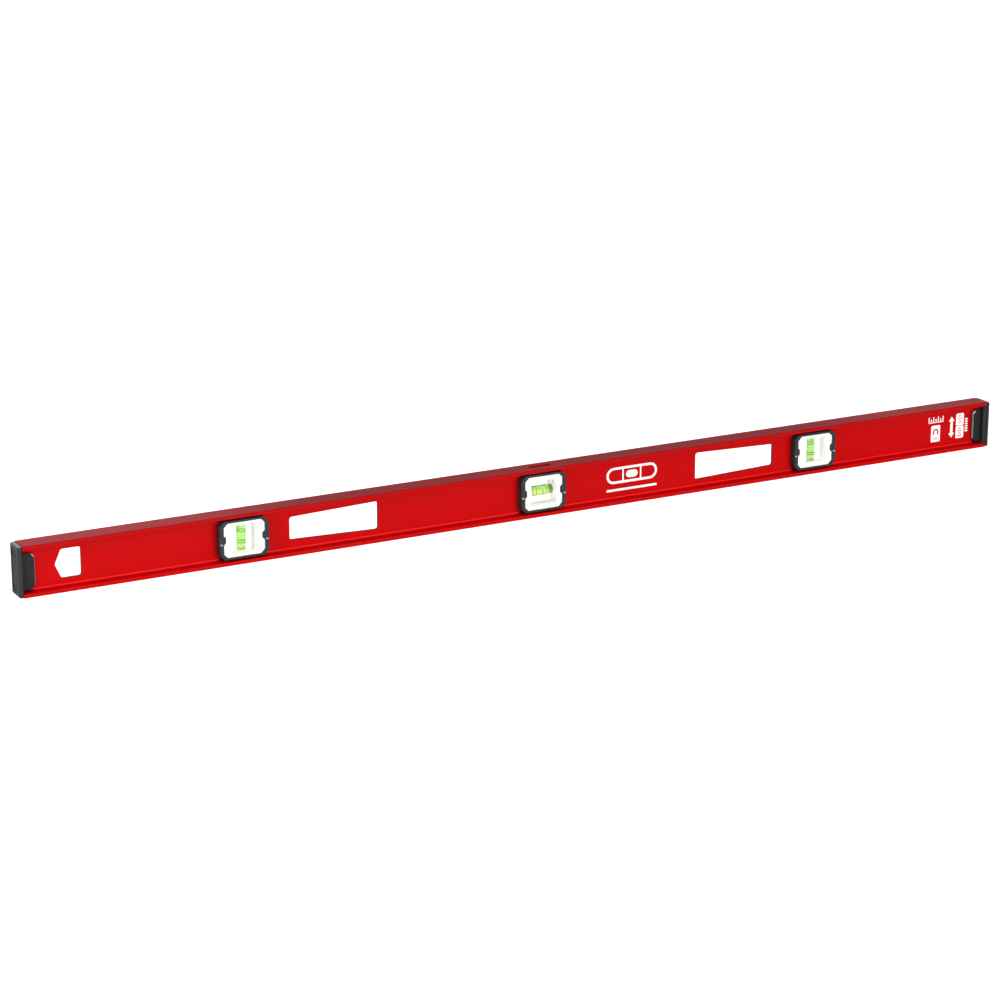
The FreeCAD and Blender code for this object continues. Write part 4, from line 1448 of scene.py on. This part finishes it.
@dataclass
class Studio:
    """A pale light table, soft lights and the camera.

    Attributes:
        target: What the camera looks at, in metres.
        azimuth: The camera's turn round the level; 0 looks along +Y, negative from the left.
        elevation: The camera's height above the horizon, in degrees.
        distance: Camera to target, in metres.
        lens: Focal length on a 36 mm sensor.
        lamps: The lights.
    """

    target: Tuple[float, float, float] = (-0.04932, 0.0, 0.02294)
    azimuth: float = -28.02
    elevation: float = 16.86
    distance: float = 3.2716
    lens: float = 106.64
    lamps: Tuple[Softbox, ...] = (
        Softbox("front_softbox", 6.0, 10.0, 2.8, (2.8, 0.9), 63.0),
        Softbox("left_softbox", -69.0, 17.0, 1.46, (0.6, 0.5), 6.0),
        Softbox("overhead_softbox", 8.0, 62.0, 2.6, (2.4, 0.9), 16.0),
        Softbox("rear_softbox", 216.0, 24.0, 2.8, (1.6, 1.0), 46.0),
        Softbox("right_softbox", 78.0, 20.0, 2.8, (1.2, 0.9), 13.0),
    )

    def from_target(self, azimuth: float, elevation: float, distance: float) -> Vector:
        """A place seen from the target at an azimuth, an elevation and a distance."""
        turn, rise = math.radians(azimuth), math.radians(elevation)
        level = distance * math.cos(rise)
        return Vector(self.target) + Vector(
            (level * math.sin(turn), -level * math.cos(turn), distance * math.sin(rise))
        )

    def aimed(self, name: str, data: Any, place: Vector) -> bpy.types.Object:
        """Add a lamp or camera at a place, looking at the target."""
        holder = bpy.data.objects.new(name, data)
        holder.location = place
        direction = Vector(self.target) - place
        holder.rotation_euler = direction.to_track_quat("-Z", "Y").to_euler()
        bpy.context.scene.collection.objects.link(holder)
        return holder

    def build(self) -> None:
        """Build the table, the lights, the surroundings and the camera."""
        self.build_table()
        self.build_surroundings()
        for lamp in self.lamps:
            self.build_light(lamp)
        sensor_mm, far_metres = 36.0, 60.0
        camera = bpy.data.cameras.new("camera")
        camera.lens = self.lens
        camera.sensor_width = sensor_mm
        camera.clip_end = far_metres
        place = self.from_target(self.azimuth, self.elevation, self.distance)
        bpy.context.scene.camera = self.aimed("camera", camera, place)
        bpy.context.scene.view_settings.view_transform = "Standard"
        LOG.info("camera at %s", tuple(round(value, 4) for value in place))

    def build_table(self) -> None:
        """A wide flat table that the level stands on."""
        half = 30.0
        mesh = bpy.data.meshes.new("light_table")
        corners = [(-half, -half, 0.0), (half, -half, 0.0), (half, half, 0.0), (-half, half, 0.0)]
        mesh.from_pydata(corners, [], [(0, 1, 2, 3)])
        mesh.materials.append(LightTable().build())
        table = bpy.data.objects.new("light_table", mesh)
        bpy.context.scene.collection.objects.link(table)

    def build_surroundings(self) -> None:
        """A plain pale room, a little brighter overhead."""
        world = bpy.data.worlds.new("pale_room")
        world.use_nodes = True
        world.node_tree.nodes.clear()
        direction = add_node(world, "ShaderNodeTexCoord").outputs["Generated"]
        height = add_node(world, "ShaderNodeSeparateXYZ", None, {0: direction}).outputs["Z"]
        settings: Dict[Key, Any] = {"data_type": "RGBA", 6: "#E6E7E9", 7: "#FFFFFF"}
        colour = add_node(world, "ShaderNodeMix", settings, {0: height}).outputs[2]
        through_glass = add_node(world, "ShaderNodeLightPath").outputs["Is Transmission Ray"]
        dim, bright = 0.28, 1.0
        settings = {"To Min": dim, "To Max": bright}
        strength = add_node(world, "ShaderNodeMapRange", settings, {"Value": through_glass})
        links: Dict[Key, Source] = {"Color": colour, "Strength": strength}
        background = add_node(world, "ShaderNodeBackground", None, links)
        add_node(world, "ShaderNodeOutputWorld", None, {"Surface": background})
        bpy.context.scene.world = world

    def build_light(self, lamp: Softbox) -> None:
        """Add one softbox."""
        light = bpy.data.lights.new(lamp.name, "AREA")
        light.shape = "RECTANGLE"
        light.size, light.size_y = lamp.size
        light.energy = lamp.power
        place = self.from_target(lamp.azimuth, lamp.elevation, lamp.distance)
        self.aimed(lamp.name, light, place)


def main() -> None:
    """Build the level around its frame, then the studio."""
    logging.basicConfig(level=logging.INFO, format="%(message)s")
    palette = Palette.build()
    Beam(palette).build()
    for side in Side:
        EndCap(palette, side).build()
    stations = [
        VialStation(palette, "left_plumb", Axis.UP.value, (-1.0, 0.0, 0.0)),
        VialStation(
            palette,
            "level",
            Axis.ALONG.value,
            Axis.UP.value,
            # Painted light: the level's spirit is paler and yellower in its lower half.
            dye=DyedSpirit("#DDF0B8", "#D2EBA6", "#F6FAC4", (0.42, 0.58)),
        ),
        VialStation(palette, "right_plumb", Axis.UP.value, Axis.ALONG.value),
    ]
    for station in stations:
        station.build()
    dress_node("level_top_window", palette.pane)
    Studio().build()


if __name__ == "__main__":
    main()
